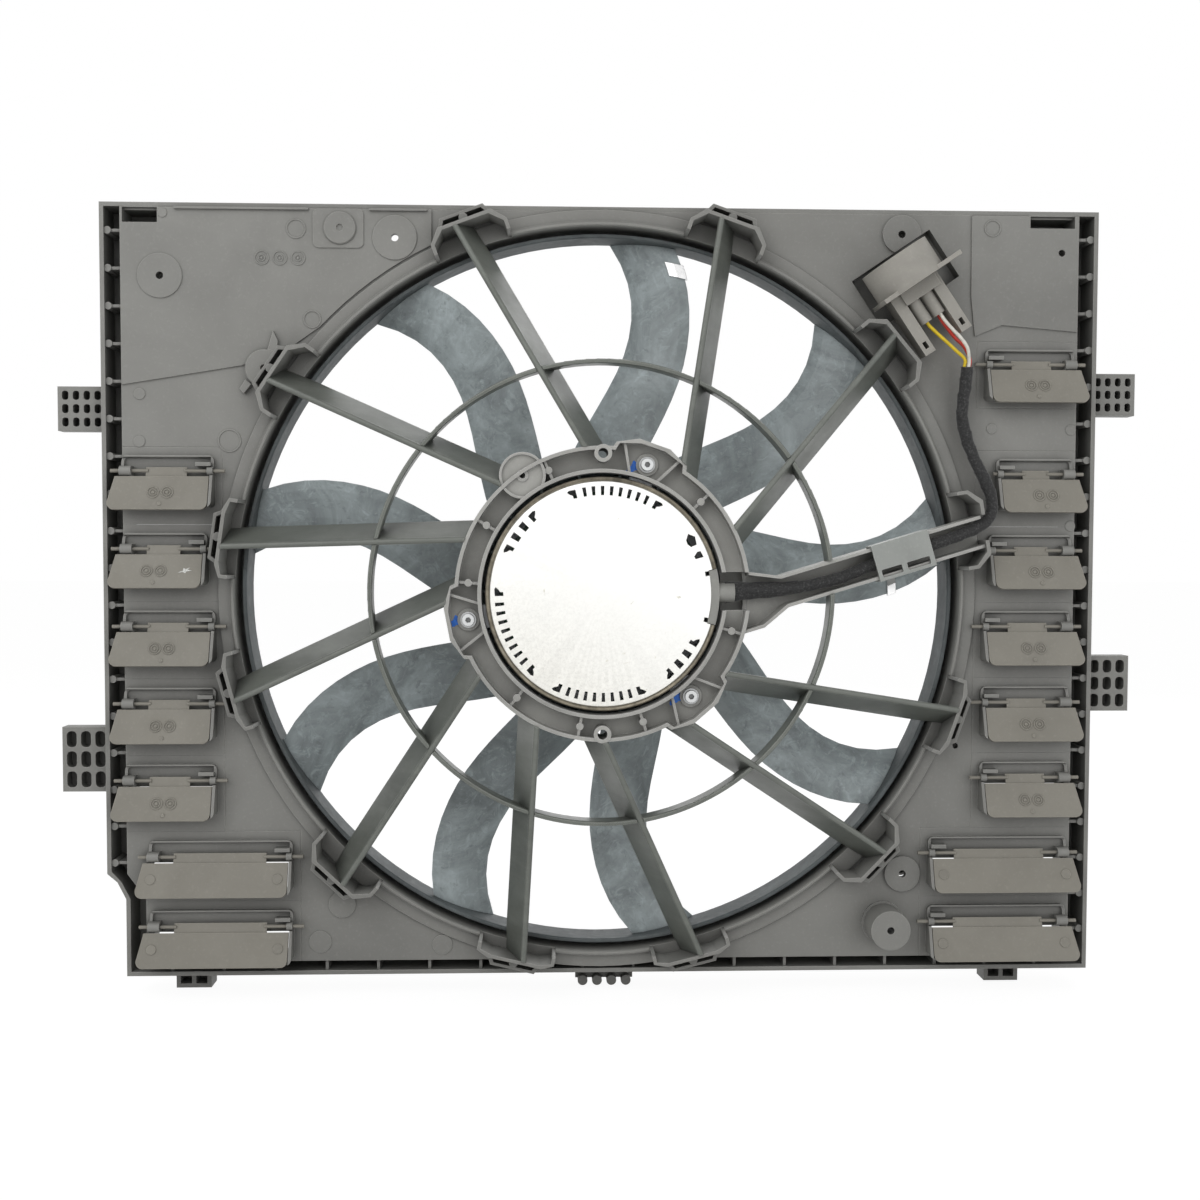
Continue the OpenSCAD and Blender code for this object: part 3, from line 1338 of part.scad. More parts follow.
shroud_panel();
perimeter_frame();
orifice_barrel();
vane_bays();
stator_vanes();
guard_ring();
motor_carrier();
cable_duct();
duct_clip();
flap_frames();
side_brackets();
bottom_feet();
motor_cover();
motor_housing();
bearings();
stator_core();
windings();
circuit_board();
capacitors();
cable_gland();
motor_screws();
power_cable();
lead_wires();
connector_socket();
connector_body();
connector_pins();
motor_shaft();
rotor_cup();
rotor_magnets();
fan_hub();
hub_screws();
fan_blades();
fan_band();
balance_clips();
left_flap(0);  // left_flap_1
left_flap(1);  // left_flap_2
left_flap(2);  // left_flap_3
left_flap(3);  // left_flap_4
left_flap(4);  // left_flap_5
left_flap(5);  // left_flap_6
left_flap(6);  // left_flap_7
right_flap(0);  // right_flap_1
right_flap(1);  // right_flap_2
right_flap(2);  // right_flap_3
right_flap(3);  // right_flap_4
right_flap(4);  // right_flap_5
right_flap(5);  // right_flap_6
right_flap(6);  // right_flap_7
right_flap(7);  // right_flap_8
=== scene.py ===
"""Finishes, cable, small fittings, camera and studio of a radiator fan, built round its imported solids."""

import math

import bmesh
import bpy
from mathutils import Matrix, Vector


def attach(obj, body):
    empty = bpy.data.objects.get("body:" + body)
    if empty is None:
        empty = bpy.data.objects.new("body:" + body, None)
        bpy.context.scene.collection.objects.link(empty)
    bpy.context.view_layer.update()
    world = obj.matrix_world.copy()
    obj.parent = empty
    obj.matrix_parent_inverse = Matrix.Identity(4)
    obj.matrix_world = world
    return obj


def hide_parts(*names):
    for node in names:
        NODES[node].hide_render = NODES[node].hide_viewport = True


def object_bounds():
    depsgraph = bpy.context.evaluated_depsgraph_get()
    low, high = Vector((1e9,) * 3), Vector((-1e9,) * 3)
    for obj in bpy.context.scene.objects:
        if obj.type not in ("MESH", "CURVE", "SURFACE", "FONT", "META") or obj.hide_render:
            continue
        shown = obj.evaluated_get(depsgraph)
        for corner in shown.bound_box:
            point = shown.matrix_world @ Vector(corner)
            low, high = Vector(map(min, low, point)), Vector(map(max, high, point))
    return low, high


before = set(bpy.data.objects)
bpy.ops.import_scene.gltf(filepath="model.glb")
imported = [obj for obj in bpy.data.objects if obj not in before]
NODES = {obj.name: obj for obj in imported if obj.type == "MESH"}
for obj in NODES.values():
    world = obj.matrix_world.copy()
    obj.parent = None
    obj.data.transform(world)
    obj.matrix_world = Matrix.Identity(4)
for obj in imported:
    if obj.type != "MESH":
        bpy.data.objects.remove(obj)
CAD_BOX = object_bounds()

bl_info = {
    "name": "Radiator Fan Finish",
    "version": (1, 0, 0),
    "blender": (4, 5, 0),
    "location": "3D View > Sidebar > Radiator Fan",
    "description": "Dresses a radiator fan with moulded plastic, metal, tape and its small fittings",
    "category": "Object",
}

MM = 0.001
SHROUD_NODES = [
    "shroud_panel", "perimeter_frame", "orifice_barrel", "vane_bays", "stator_vanes", "guard_ring",
    "motor_carrier", "cable_duct", "flap_frames", "side_brackets", "bottom_feet",
]
VANE_NODES = ["stator_vanes", "guard_ring"]
WEB_NODES = ["motor_carrier", "cable_duct"]
FLAP_NODES = sorted(n for n in NODES if "_flap_" in n)


OUT = Vector((0, -1, 0))


def at(x, y, z):
    """World place of a point given in millimetres from the fan axis: right, up, and out from the radiator."""
    return Vector((x * MM, -z * MM, y * MM))


# Shader helpers


def feed(tree, socket, value):
    """Links a socket to another one, or gives it a number, a vector or a colour of three numbers."""
    if isinstance(value, bpy.types.NodeSocket):
        tree.links.new(value, socket)
    else:
        socket.default_value = (*value, 1) if socket.type == "RGBA" else value


def new_node(tree, kind, inputs=None, **settings):
    """New node with its settings, and what feeds its inputs, by their name or number."""
    node = tree.nodes.new(kind)
    for key, value in settings.items():
        setattr(node, key, value)
    for key, value in (inputs or {}).items():
        feed(tree, node.inputs[key], value)
    return node


class Shader:
    """Material of one principled surface, and the steps that work out what feeds it."""

    def __init__(self, name):
        self.material = bpy.data.materials.new(name)
        self.material.use_nodes = True
        self.tree = self.material.node_tree
        self.tree.nodes.clear()
        self.body = self.add("ShaderNodeBsdfPrincipled")
        self.add("ShaderNodeOutputMaterial", {"Surface": self.body.outputs["BSDF"]})
        self.place = self.add("ShaderNodeTexCoord").outputs["Object"]

    def set(self, socket, value):
        feed(self.tree, self.body.inputs[socket], value)

    def add(self, kind, inputs=None, **settings):
        return new_node(self.tree, kind, inputs, **settings)

    def stretch(self, scale):
        return self.add("ShaderNodeMapping", {"Scale": scale, "Vector": self.place}).outputs["Vector"]

    def noise(self, scale, detail=3.0, rough=0.55, where=None, warp=0.0):
        """Cloudy pattern fixed to the object."""
        return self.add("ShaderNodeTexNoise", {
            "Scale": scale, "Detail": detail, "Roughness": rough, "Distortion": warp, "Vector": where or self.place,
        }).outputs["Fac"]

    def ramp(self, factor, stops):
        """Colour read from stops, each a place and a colour."""
        node = self.add("ShaderNodeValToRGB", {"Fac": factor})
        ramp = node.color_ramp
        while len(ramp.elements) < len(stops):
            ramp.elements.new(0.5)
        for element, (place, colour) in zip(ramp.elements, stops):
            element.position = place
            element.color = (*colour, 1)
        return node.outputs["Color"]

    def level(self, factor, low, high, from_low=0.3, from_high=0.7):
        """A factor brought to another range."""
        return self.add("ShaderNodeMapRange", {
            "From Min": from_low, "From Max": from_high, "To Min": low, "To Max": high, "Value": factor,
        }).outputs["Result"]

    def blend(self, factor, a, b):
        """Mix of two colours by a factor."""
        return self.add("ShaderNodeMix", {0: factor, 6: a, 7: b}, data_type="RGBA", blend_type="MIX").outputs[2]

    def maths(self, what, a, b=0.5):
        return self.add("ShaderNodeMath", {0: a, 1: b}, operation=what).outputs[0]

    def bump(self, height, strength, depth, over=None):
        inputs = {"Strength": strength, "Distance": depth, "Height": height}
        if over is not None:
            inputs["Normal"] = over
        return self.add("ShaderNodeBump", inputs).outputs["Normal"]

    def shade_in_hollows(self, reach):
        """Ambient-occlusion factor for painted shade: 1 on open faces, falling towards 0 in narrow channels and
        corners.
        """
        return self.add("ShaderNodeAmbientOcclusion", {"Distance": reach}, samples=4).outputs["AO"]

    def soft_edges(self, radius):
        return self.add("ShaderNodeBevel", {"Radius": radius}, samples=4).outputs["Normal"]

    def edge_mask(self, rounded, sharpness=0.35):
        """1 on edges and 0 on faces, from how far the rounded normal leans away from the flat one."""
        flat = self.add("ShaderNodeNewGeometry").outputs["Normal"]
        dot = self.add("ShaderNodeVectorMath", {0: rounded, 1: flat}, operation="DOT_PRODUCT")
        return self.level(dot.outputs["Value"], 1, 0, 1 - sharpness, 0.995)


def shade(colour, factor):
    """The colour made darker or lighter by a factor."""
    return tuple(min(1.0, c * factor) for c in colour)


def moulded_plastic(name, colour, patch=7.0, contrast=0.22, roughness=0.5, grain=0.25, streak=None, edge=2.5,
                    depth=0.75, wear_and_highlight_width=0.0009):
    """Injection-moulded plastic: cloudy colour, flow streaks, fine grain, edges painted light as rubbed wear and
    painted highlight, and painted shade in its hollows.
    """
    s = Shader(name)
    rounded = s.soft_edges(wear_and_highlight_width)
    clouds = s.noise(patch, 5, 0.6, warp=0.6)
    tone = s.ramp(clouds, [(0.25, shade(colour, 1 - contrast)), (0.5, colour),
                           (0.78, shade(colour, 1 + contrast))])
    if streak is not None:
        flow = s.noise(1.0, 6, 0.65, s.stretch(streak), warp=0.4)
        tone = s.blend(s.level(flow, 0, 0.5, 0.45, 0.75), tone, shade(colour, 1.55))
    speck = s.noise(420, 2, 0.7)
    tone = s.blend(s.level(speck, 0, 0.28, 0.55, 0.8), tone, shade(colour, 1.5))
    # Edges painted lighter by the factor edge: partly rubbed wear, partly painted highlight.
    tone = s.blend(s.maths("MULTIPLY", s.edge_mask(rounded), 0.85), tone, shade(colour, edge))
    # Painted shade: darker towards corners and channels, by the share depth.
    if depth:
        tone = s.blend(s.level(s.shade_in_hollows(0.018), depth, 0, 0.3, 0.9), tone, shade(colour, 0.25))
    s.set("Base Color", tone)
    s.set("Roughness", s.level(s.noise(35, 4, 0.6), roughness - 0.08, roughness + 0.1))
    fine = s.bump(s.noise(1400, 2, 0.6), grain, 0.00012, rounded)
    s.set("Normal", s.bump(s.noise(60, 3, 0.5), 0.12, 0.0004, fine))
    s.set("IOR", 1.48)
    return s.material


def mottled_plastic(name, colour, roughness=0.38):
    """Glass-filled plastic of the fan: bluish, with pale worn patches, a soft gloss, edges painted light as wear and
    painted highlight, and painted shade in its hollows.
    """
    s = Shader(name)
    rounded = s.soft_edges(0.0008)
    wide = s.noise(16, 7, 0.68, warp=1.2)
    tone = s.ramp(wide, [(0.3, shade(colour, 0.55)), (0.5, colour), (0.68, shade(colour, 1.5))])
    scuffs = s.noise(70, 6, 0.75, warp=2.0)
    tone = s.blend(s.level(scuffs, 0, 0.55, 0.52, 0.7), tone, shade(colour, 1.9))
    pits = s.noise(160, 4, 0.7, warp=0.5)
    tone = s.blend(s.level(pits, 0.5, 0, 0.3, 0.42), tone, shade(colour, 0.5))
    # Edges painted lighter: partly wear, partly painted highlight.
    tone = s.blend(s.maths("MULTIPLY", s.edge_mask(rounded), 0.6), tone, shade(colour, 2.1))
    # Painted shade in corners and channels.
    tone = s.blend(s.level(s.shade_in_hollows(0.015), 0.6, 0, 0.25, 0.85), tone, shade(colour, 0.35))
    s.set("Base Color", tone)
    s.set("Roughness", s.level(scuffs, roughness - 0.08, roughness + 0.2))
    s.set("Normal", s.bump(s.noise(700, 3, 0.6), 0.2, 0.0001, rounded))
    s.set("IOR", 1.5)
    return s.material


def bare_metal(name, colour, roughness=0.3, patch=30.0, contrast=0.08, streak=None, corner_shade=0.0):
    """Bare or zinc-coated metal with a faint crystal mottling, and painted shade in its corners."""
    s = Shader(name)
    rounded = s.soft_edges(0.0005)
    cells = s.noise(patch, 5, 0.7, s.stretch(streak) if streak else None)
    tone = s.ramp(cells, [(0.3, shade(colour, 1 - contrast)), (0.7, shade(colour, 1 + contrast))])
    # Painted shade: darker in corners and hollows.
    if corner_shade:
        tone = s.blend(s.level(s.shade_in_hollows(0.004), corner_shade, 0, 0.45, 0.97), tone, shade(colour, 0.12))
    s.set("Base Color", tone)
    s.set("Roughness", s.level(s.noise(90, 4, 0.6), roughness - 0.06, roughness + 0.12))
    s.set("Normal", s.bump(s.noise(900, 2, 0.6), 0.15, 0.0001, rounded))
    s.set("Metallic", 1.0)
    return s.material


# Where the cover's bright face turns into its rim, painted dark as the shade of the groove round the face, in metres
# from its middle
COVER_SHADE_RIM = (0.0761, 0.0767)


def pressed_cover(name, colour):
    """Bright pressed aluminium, darker, yellower and speckled towards its lower left, with a rim painted dark as the
    shade of its groove.
    """
    s = Shader(name)
    rounded = s.soft_edges(0.0005)
    split = s.add("ShaderNodeSeparateXYZ", {0: s.place})
    leaning = s.maths("ADD", split.outputs["Z"], s.maths("MULTIPLY", split.outputs["X"], 0.45))
    low = s.level(leaning, 1, 0, -0.075, 0.02)
    # Tone that is darker, yellower and speckled, laid on towards the lower left.
    lower_left_tone = s.ramp(s.noise(620, 4, 0.75), [(0.34, shade(colour, 0.6)), (0.5, shade(colour, 0.86)), (0.62, colour)])
    lower_left_tone = s.blend(0.45, lower_left_tone, tuple(c * k for c, k in zip(colour, (0.86, 0.83, 0.73))))
    clean = s.ramp(s.noise(40, 4, 0.6), [(0.3, shade(colour, 0.97)), (0.7, colour)])
    tone = s.blend(s.maths("MULTIPLY", low, 0.75), clean, lower_left_tone)
    stain = s.level(s.noise(90, 3, 0.6, warp=1.0), 0, 0.5, 0.69, 0.76)
    tone = s.blend(stain, tone, (0.42, 0.38, 0.24))
    across = s.maths("MULTIPLY", split.outputs["X"], split.outputs["X"])
    reach = s.maths("SQRT", s.maths("ADD", across, s.maths("MULTIPLY", split.outputs["Z"], split.outputs["Z"])))
    # Painted shade: beyond the rim radius, over the groove and the skirt, the face is painted dark brown.
    rim = s.ramp(s.noise(120, 4, 0.7), [(0.3, (0.10, 0.09, 0.07)), (0.7, (0.30, 0.27, 0.21))])
    tone = s.blend(s.level(reach, 0, 1, *COVER_SHADE_RIM), tone, rim)
    s.set("Base Color", tone)
    s.set("Roughness", s.level(s.noise(90, 4, 0.6), 0.4, 0.55))
    s.set("Normal", s.bump(s.noise(900, 2, 0.6), 0.15, 0.0001, rounded))
    s.set("Metallic", 0.85)
    return s.material


def fleece_tape(name, colour):
    """Woven fleece tape: fuzzy and nearly black."""
    s = Shader(name)
    fuzz = s.noise(700, 4, 0.8)
    tone = s.ramp(fuzz, [(0.35, shade(colour, 0.4)), (0.55, colour), (0.72, shade(colour, 3.6))])
    s.set("Base Color", tone)
    s.set("Normal", s.bump(fuzz, 0.6, 0.0004))
    s.set("Roughness", 0.85)
    s.set("Sheen Weight", 0.35)
    s.set("Sheen Roughness", 0.4)
    return s.material


def smooth_sheath(name, colour, roughness=0.35):
    """Thin extruded plastic of a lead wire."""
    s = Shader(name)
    tone = s.ramp(s.noise(240, 3, 0.6), [(0.3, shade(colour, 0.85)), (0.7, shade(colour, 1.08))])
    s.set("Base Color", tone)
    s.set("Roughness", roughness)
    return s.material


def dress(nodes, material):
    """Gives CAD nodes a material and smooth shading over their round faces."""
    for name in nodes:
        mesh = NODES[name].data
        mesh.materials.clear()
        mesh.materials.append(material)
        mesh.shade_smooth()
        mesh.set_sharp_from_angle(angle=math.radians(28))


# Mesh helpers


def linked(name, data):
    """New object in the scene."""
    thing = bpy.data.objects.new(name, data)
    bpy.context.scene.collection.objects.link(thing)
    return thing


def piece(name, mesh, material, body):
    """New mesh piece that rides on a body, with the given material."""
    thing = linked(name, mesh)
    mesh.materials.append(material)
    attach(thing, body)
    return thing


def spline_points(points, steps):
    """Points of a smooth curve through the given points, with some steps between each two."""
    p = [Vector(q) for q in points]
    found = []
    for i in range(len(p) - 1):
        a, b = p[max(i - 1, 0)], p[i]
        c, d = p[i + 1], p[min(i + 2, len(p) - 1)]
        for k in range(steps):
            t = k / steps
            found.append(0.5 * (2 * b + (c - a) * t + (2 * a - 5 * b + 4 * c - d) * t * t
                                + (3 * b - a - 3 * c + d) * t ** 3))
    found.append(p[-1])
    return found


def swept_tube(path, radius_at, sides):
    """Mesh tube round a path. radius_at(distance, angle) gives its radius."""
    mesh = bpy.data.meshes.new("tube")
    bm = bmesh.new()
    rings = []
    run = 0.0
    side = None
    for i, p in enumerate(path):
        if i:
            run += (p - path[i - 1]).length
        t = (path[min(i + 1, len(path) - 1)] - path[max(i - 1, 0)]).normalized()
        if side is None:
            side = t.orthogonal().normalized()
        side = (side - t * side.dot(t)).normalized()
        up = t.cross(side)
        ring = []
        for k in range(sides):
            a = 2 * math.pi * k / sides
            ring.append(bm.verts.new(p + (side * math.cos(a) + up * math.sin(a)) * radius_at(run, a)))
        rings.append(ring)
    for low, high in zip(rings, rings[1:]):
        for k in range(sides):
            bm.faces.new((low[k], low[(k + 1) % sides], high[(k + 1) % sides], high[k]))
    bm.faces.new(list(reversed(rings[0])))
    bm.faces.new(rings[-1])
    bmesh.ops.recalc_face_normals(bm, faces=bm.faces)
    bm.to_mesh(mesh)
    bm.free()
    mesh.shade_smooth()
    mesh.set_sharp_from_angle(angle=math.radians(50))
    return mesh


def turned(bm, centre, out, profile, sides=40, wobble=0.0):
    """Adds a round shape: its profile lists radius and height in millimetres, height along the given direction."""
    side = out.orthogonal().normalized()
    up = out.cross(side)
    rings = []
    for radius, height in profile:
        base = centre + out * (height * MM)
        if radius == 0:
            rings.append([bm.verts.new(base)])
            continue
        ring = []
        for k in range(sides):
            a = 2 * math.pi * k / sides
            reach = radius * MM * (1 + wobble * (math.sin(3 * a + 1) + 0.6 * math.sin(5 * a)))
            ring.append(bm.verts.new(base + (side * math.cos(a) + up * math.sin(a)) * reach))
        rings.append(ring)
    for low, high in zip(rings, rings[1:]):
        for k in range(sides):
            if len(high) == 1:
                bm.faces.new((low[k], low[(k + 1) % sides], high[0]))
            elif len(low) == 1:
                bm.faces.new((low[0], high[(k + 1) % sides], high[k]))
            else:
                bm.faces.new((low[k], low[(k + 1) % sides], high[(k + 1) % sides], high[k]))


# How deep a raised mark reaches into the face below it, in millimetres
ROOT = -0.3


def disc_profile(radius, height, edge=0.15):
    """Profile of a raised disc with a chamfered edge."""
    return [(0, ROOT), (radius, ROOT), (radius, height - edge), (radius - edge, height), (0, height)]


def ring_profile(outer, inner, height):
    """Profile of a raised ring with a rounded top."""
    middle = (outer + inner) / 2
    return [(outer, ROOT), (outer, height - 0.1), (middle, height), (inner, height - 0.1), (inner, ROOT),
            (outer, ROOT)]


def bored_profile(radius, hole, height):
    """Profile of a raised disc with a blind hole in its middle."""
    return [(0, 0.2), (hole, 0.2), (hole, height - 0.3), (hole + 0.3, height), (radius - 0.8, height),
            (radius, height - 0.8), (radius, ROOT), (0, ROOT)]


def mesh_from(bm, name, angle=35):
    """Mesh of a finished bmesh, with its normals outwards and its sharp edges marked."""
    bmesh.ops.remove_doubles(bm, verts=bm.verts, dist=1e-7)
    bmesh.ops.recalc_face_normals(bm, faces=bm.faces)
    mesh = bpy.data.meshes.new(name)
    bm.to_mesh(mesh)
    bm.free()
    mesh.shade_smooth()
    mesh.set_sharp_from_angle(angle=math.radians(angle))
    return mesh


def prism(bm, outline, low, high, place=at):
    """Adds a closed prism over an outline of points right and up, between two levels, all in millimetres."""
    rings = [[bm.verts.new(place(x, y, z)) for x, y in outline] for z in (low, high)]
    bm.faces.new(rings[0])
    bm.faces.new(list(reversed(rings[1])))
    for k in range(len(outline)):
        n = (k + 1) % len(outline)
        bm.faces.new((rings[0][k], rings[0][n], rings[1][n], rings[1][k]))


def carved(solid, cutter, name, angle=35):
    """Mesh of one closed mesh with another cut away from it."""
    things = [linked(name, mesh) for mesh in (solid, cutter)]
    cut = things[0].modifiers.new("cut", "BOOLEAN")
    cut.operation = "DIFFERENCE"
    cut.solver = "EXACT"
    cut.use_self = True
    cut.object = things[1]
    graph = bpy.context.evaluated_depsgraph_get()
    mesh = bpy.data.meshes.new_from_object(things[0].evaluated_get(graph))
    for thing in things:
        bpy.data.objects.remove(thing)
    mesh.materials.clear()
    mesh.shade_smooth()
    mesh.set_sharp_from_angle(angle=math.radians(angle))
    return mesh


def turned_outline(points, angle, reach):
    """Points given outwards and sideways from a place at some reach, turned to an angle in degrees."""
    c, s = math.cos(math.radians(angle)), math.sin(math.radians(angle))
    return [((reach + u) * c - v * s, (reach + u) * s + v * c) for u, v in points]


def ring_sector(low, high, inner, outer, steps=12):
    """Outline of a part of a ring between two angles in degrees and two radii."""
    arc = [math.radians(low + (high - low) * k / steps) for k in range(steps + 1)]
    far = [(outer * math.cos(a), outer * math.sin(a)) for a in arc]
    return far + [(inner * math.cos(a), inner * math.sin(a)) for a in reversed(arc)]


def rectangle(x0, y0, x1, y1):
    """Outline of a rectangle between two corners."""
    return [(x0, y0), (x1, y0), (x1, y1), (x0, y1)]


def rounded(x0, y0, x1, y1, r, steps=5):
    """Outline of a rectangle with round corners."""
    found = []
    for cx, cy, start in ((x1 - r, y1 - r, 0), (x0 + r, y1 - r, 90), (x0 + r, y0 + r, 180), (x1 - r, y0 + r, 270)):
        for k in range(steps + 1):
            a = math.radians(start + 90 * k / steps)
            found.append((cx + r * math.cos(a), cy + r * math.sin(a)))
    return found


def path_length(path):
    """Length of a path in metres."""
    return sum((b - a).length for a, b in zip(path, path[1:]))


# Settings


# What every colour setting has in common
COLOUR = {"subtype": "COLOR", "size": 3, "min": 0, "max": 1}


class ShroudSettings(bpy.types.PropertyGroup):
    """Colours of the moulded shroud and the height of its marks."""

    colour: bpy.props.FloatVectorProperty(
        name="Plastic", description="Colour of the moulded shroud", default=(0.258, 0.256, 0.240), **COLOUR)
    vane_colour: bpy.props.FloatVectorProperty(
        name="Vanes", description="Colour of the vanes and the guard ring", default=(0.160, 0.170, 0.152), **COLOUR)
    mark_rise: bpy.props.FloatProperty(
        name="Mark height", description="Height of the mould marks, in millimetres", min=0.1, max=0.8, default=0.55)


class FlapSettings(bpy.types.PropertyGroup):
    """Colour of the ram-air flaps."""

    colour: bpy.props.FloatVectorProperty(
        name="Flaps", description="Colour of the moulded flaps", default=(0.262, 0.248, 0.213), **COLOUR)


class FanSettings(bpy.types.PropertyGroup):
    """Colour of the fan wheel."""

    colour: bpy.props.FloatVectorProperty(
        name="Fan", description="Colour of the blades, the hub and the ring", default=(0.300, 0.340, 0.348), **COLOUR)


class MotorSettings(bpy.types.PropertyGroup):
    """Colours of the motor."""

    cover: bpy.props.FloatVectorProperty(
        name="Cover", description="Colour of the pressed motor cover", default=(0.95, 0.95, 0.93), **COLOUR)
    paint: bpy.props.FloatVectorProperty(
        name="Paint", description="Colour of the paint beside the screws", default=(0.03, 0.20, 0.80), **COLOUR)
    screw: bpy.props.FloatVectorProperty(
        name="Screws", description="Colour of the zinc-plated screws", default=(0.62, 0.63, 0.63), **COLOUR)


class CableSettings(bpy.types.PropertyGroup):
    """Sizes and colours of the cable."""

    radius: bpy.props.FloatProperty(
        name="Radius", description="Radius of the taped cable", subtype="DISTANCE", unit="LENGTH",
        min=0.002, max=0.006, default=0.0043)
    lap: bpy.props.FloatProperty(
        name="Tape lap", description="Distance between two laps of the tape", subtype="DISTANCE", unit="LENGTH",
        min=0.004, max=0.03, default=0.011)
    colour: bpy.props.FloatVectorProperty(
        name="Tape", description="Colour of the fleece tape", default=(0.036, 0.036, 0.036), **COLOUR)


class StageSettings(bpy.types.PropertyGroup):
    """Camera and studio."""

    lens: bpy.props.FloatProperty(
        name="Lens", description="Focal length on a 36 mm sensor", subtype="DISTANCE_CAMERA", unit="CAMERA",
        min=10, max=200, default=40.56)
    key: bpy.props.FloatProperty(
        name="Key light", description="Power of the large lamp at the top left", subtype="POWER", unit="POWER",
        min=0, max=500, default=14)
    fill: bpy.props.FloatProperty(
        name="Fill light", description="Power of the large lamps at the right and behind", subtype="POWER",
        unit="POWER", min=0, max=500, default=7)
    air: bpy.props.FloatProperty(
        name="Surroundings", description="Level of the light from all round", min=0, max=2, default=0.37)


SETTINGS = {
    "fan_shroud_settings": ShroudSettings,
    "fan_flap_settings": FlapSettings,
    "fan_wheel_settings": FanSettings,
    "fan_motor_settings": MotorSettings,
    "fan_cable_settings": CableSettings,
    "fan_stage_settings": StageSettings,
}


# Operators


def seen_rays(tree):
    """Socket that is 1 for the rays that show a background: straight from the camera, mirrored or through glass."""
    rays = new_node(tree, "ShaderNodeLightPath").outputs
    found = rays["Is Camera Ray"]
    for name in ("Is Transmission Ray", "Is Glossy Ray"):
        found = new_node(tree, "ShaderNodeMath", {0: found, 1: rays[name]}, operation="MAXIMUM").outputs[0]
    return found


def show(tree, kind, share, usual, seen):
    """Output of a tree that mixes its usual look with the one that is seen straight, by its share."""
    mix = new_node(tree, "ShaderNodeMixShader", {"Fac": share, 1: usual.outputs[0], 2: seen.outputs[0]})
    new_node(tree, kind, {"Surface": mix.outputs[0]})


WHITE = (1, 1, 1)
# The camera's place and aim in metres, its roll in radians, and the shift of its picture
CAMERA_PLACE = (-0.0412, -1.0, 0.031)
CAMERA_AIM = (0.0352, 1.0, -0.0417)
CAMERA_ROLL = -0.0021
CAMERA_SHIFT = (0.0089, 0.0039)
# Lamps: name, place and side in metres, and the setting that holds their power
LAMPS = [
    ("key_light", (-0.9, -1.5, 1.1), 1.6, "key"),
    ("fill_light", (1.2, -1.6, 0.35), 1.6, "fill"),
    ("rear_light", (0.4, 1.5, 0.9), 1.2, "fill"),
]
# The floor: half its side and its gap below the part in metres, its grey, and how much of its own light is seen
FLOOR_HALF = 12.0
FLOOR_GAP = 0.0005
FLOOR_GREY = 0.85
FLOOR_GLOW = 1.16
FLOOR_SHARE = 0.8


class RADFAN_OT_stage(bpy.types.Operator):
    """Sets up the camera, the pale floor and the soft studio light"""

    bl_idname = "radfan.stage"
    bl_label = "Stage"

    def execute(self, context):
        settings = context.scene.fan_stage_settings
        self.camera(context, settings)
        self.world(context, settings)
        self.floor()
        for name, place, size, power in LAMPS:
            self.lamp(name, Vector(place), size, getattr(settings, power))
        context.scene.view_settings.view_transform = "Standard"
        return {"FINISHED"}

    @staticmethod
    def camera(context, settings):
        data = bpy.data.cameras.new("photo_camera")
        data.sensor_width = 36
        data.lens = settings.lens
        data.shift_x, data.shift_y = CAMERA_SHIFT
        data.clip_start = 0.01
        data.clip_end = 50
        camera = linked("photo_camera", data)
        forward = Vector(CAMERA_AIM).normalized()
        right = forward.cross(Vector((math.sin(CAMERA_ROLL), 0, math.cos(CAMERA_ROLL)))).normalized()
        up = right.cross(forward)
        turn = Matrix((right, up, -forward)).transposed().to_4x4()
        camera.matrix_world = Matrix.Translation(CAMERA_PLACE) @ turn
        context.scene.camera = camera

    @staticmethod
    def world(context, settings):
        world = bpy.data.worlds.new("studio")
        world.use_nodes = True
        tree = world.node_tree
        tree.nodes.clear()
        seen = new_node(tree, "ShaderNodeBackground", {"Color": WHITE, "Strength": 1.0})
        light = new_node(tree, "ShaderNodeBackground", {"Color": WHITE, "Strength": settings.air})
        show(tree, "ShaderNodeOutputWorld", seen_rays(tree), light, seen)
        context.scene.world = world

    @staticmethod
    def floor():
        low = CAD_BOX[0].z - FLOOR_GAP
        mesh = bpy.data.meshes.new("floor")
        corners = rectangle(-FLOOR_HALF, -FLOOR_HALF, FLOOR_HALF, FLOOR_HALF)
        mesh.from_pydata([(x, y, low) for x, y in corners], [], [(0, 1, 2, 3)])
        floor = linked("floor", mesh)
        material = bpy.data.materials.new("pale_floor")
        material.use_nodes = True
        tree = material.node_tree
        tree.nodes.clear()
        matte = new_node(tree, "ShaderNodeBsdfDiffuse", {"Color": (FLOOR_GREY, FLOOR_GREY, FLOOR_GREY)})
        glow = new_node(tree, "ShaderNodeEmission", {"Strength": FLOOR_GLOW})
        share = new_node(tree, "ShaderNodeMath", {0: seen_rays(tree), 1: FLOOR_SHARE}, operation="MULTIPLY")
        show(tree, "ShaderNodeOutputMaterial", share.outputs[0], matte, glow)
        mesh.materials.append(material)

    @staticmethod
    def lamp(name, place, size, power):
        data = bpy.data.lights.new(name, "AREA")
        data.shape = "SQUARE"
        data.size = size
        data.energy = power
        lamp = linked(name, data)
        lamp.location = place
        lamp.rotation_mode = "QUATERNION"
        lamp.rotation_quaternion = (-place).to_track_quat("-Z", "Y")


# How much paler the carrier and the duct are than the plate
WEB_LIFT = 1.65


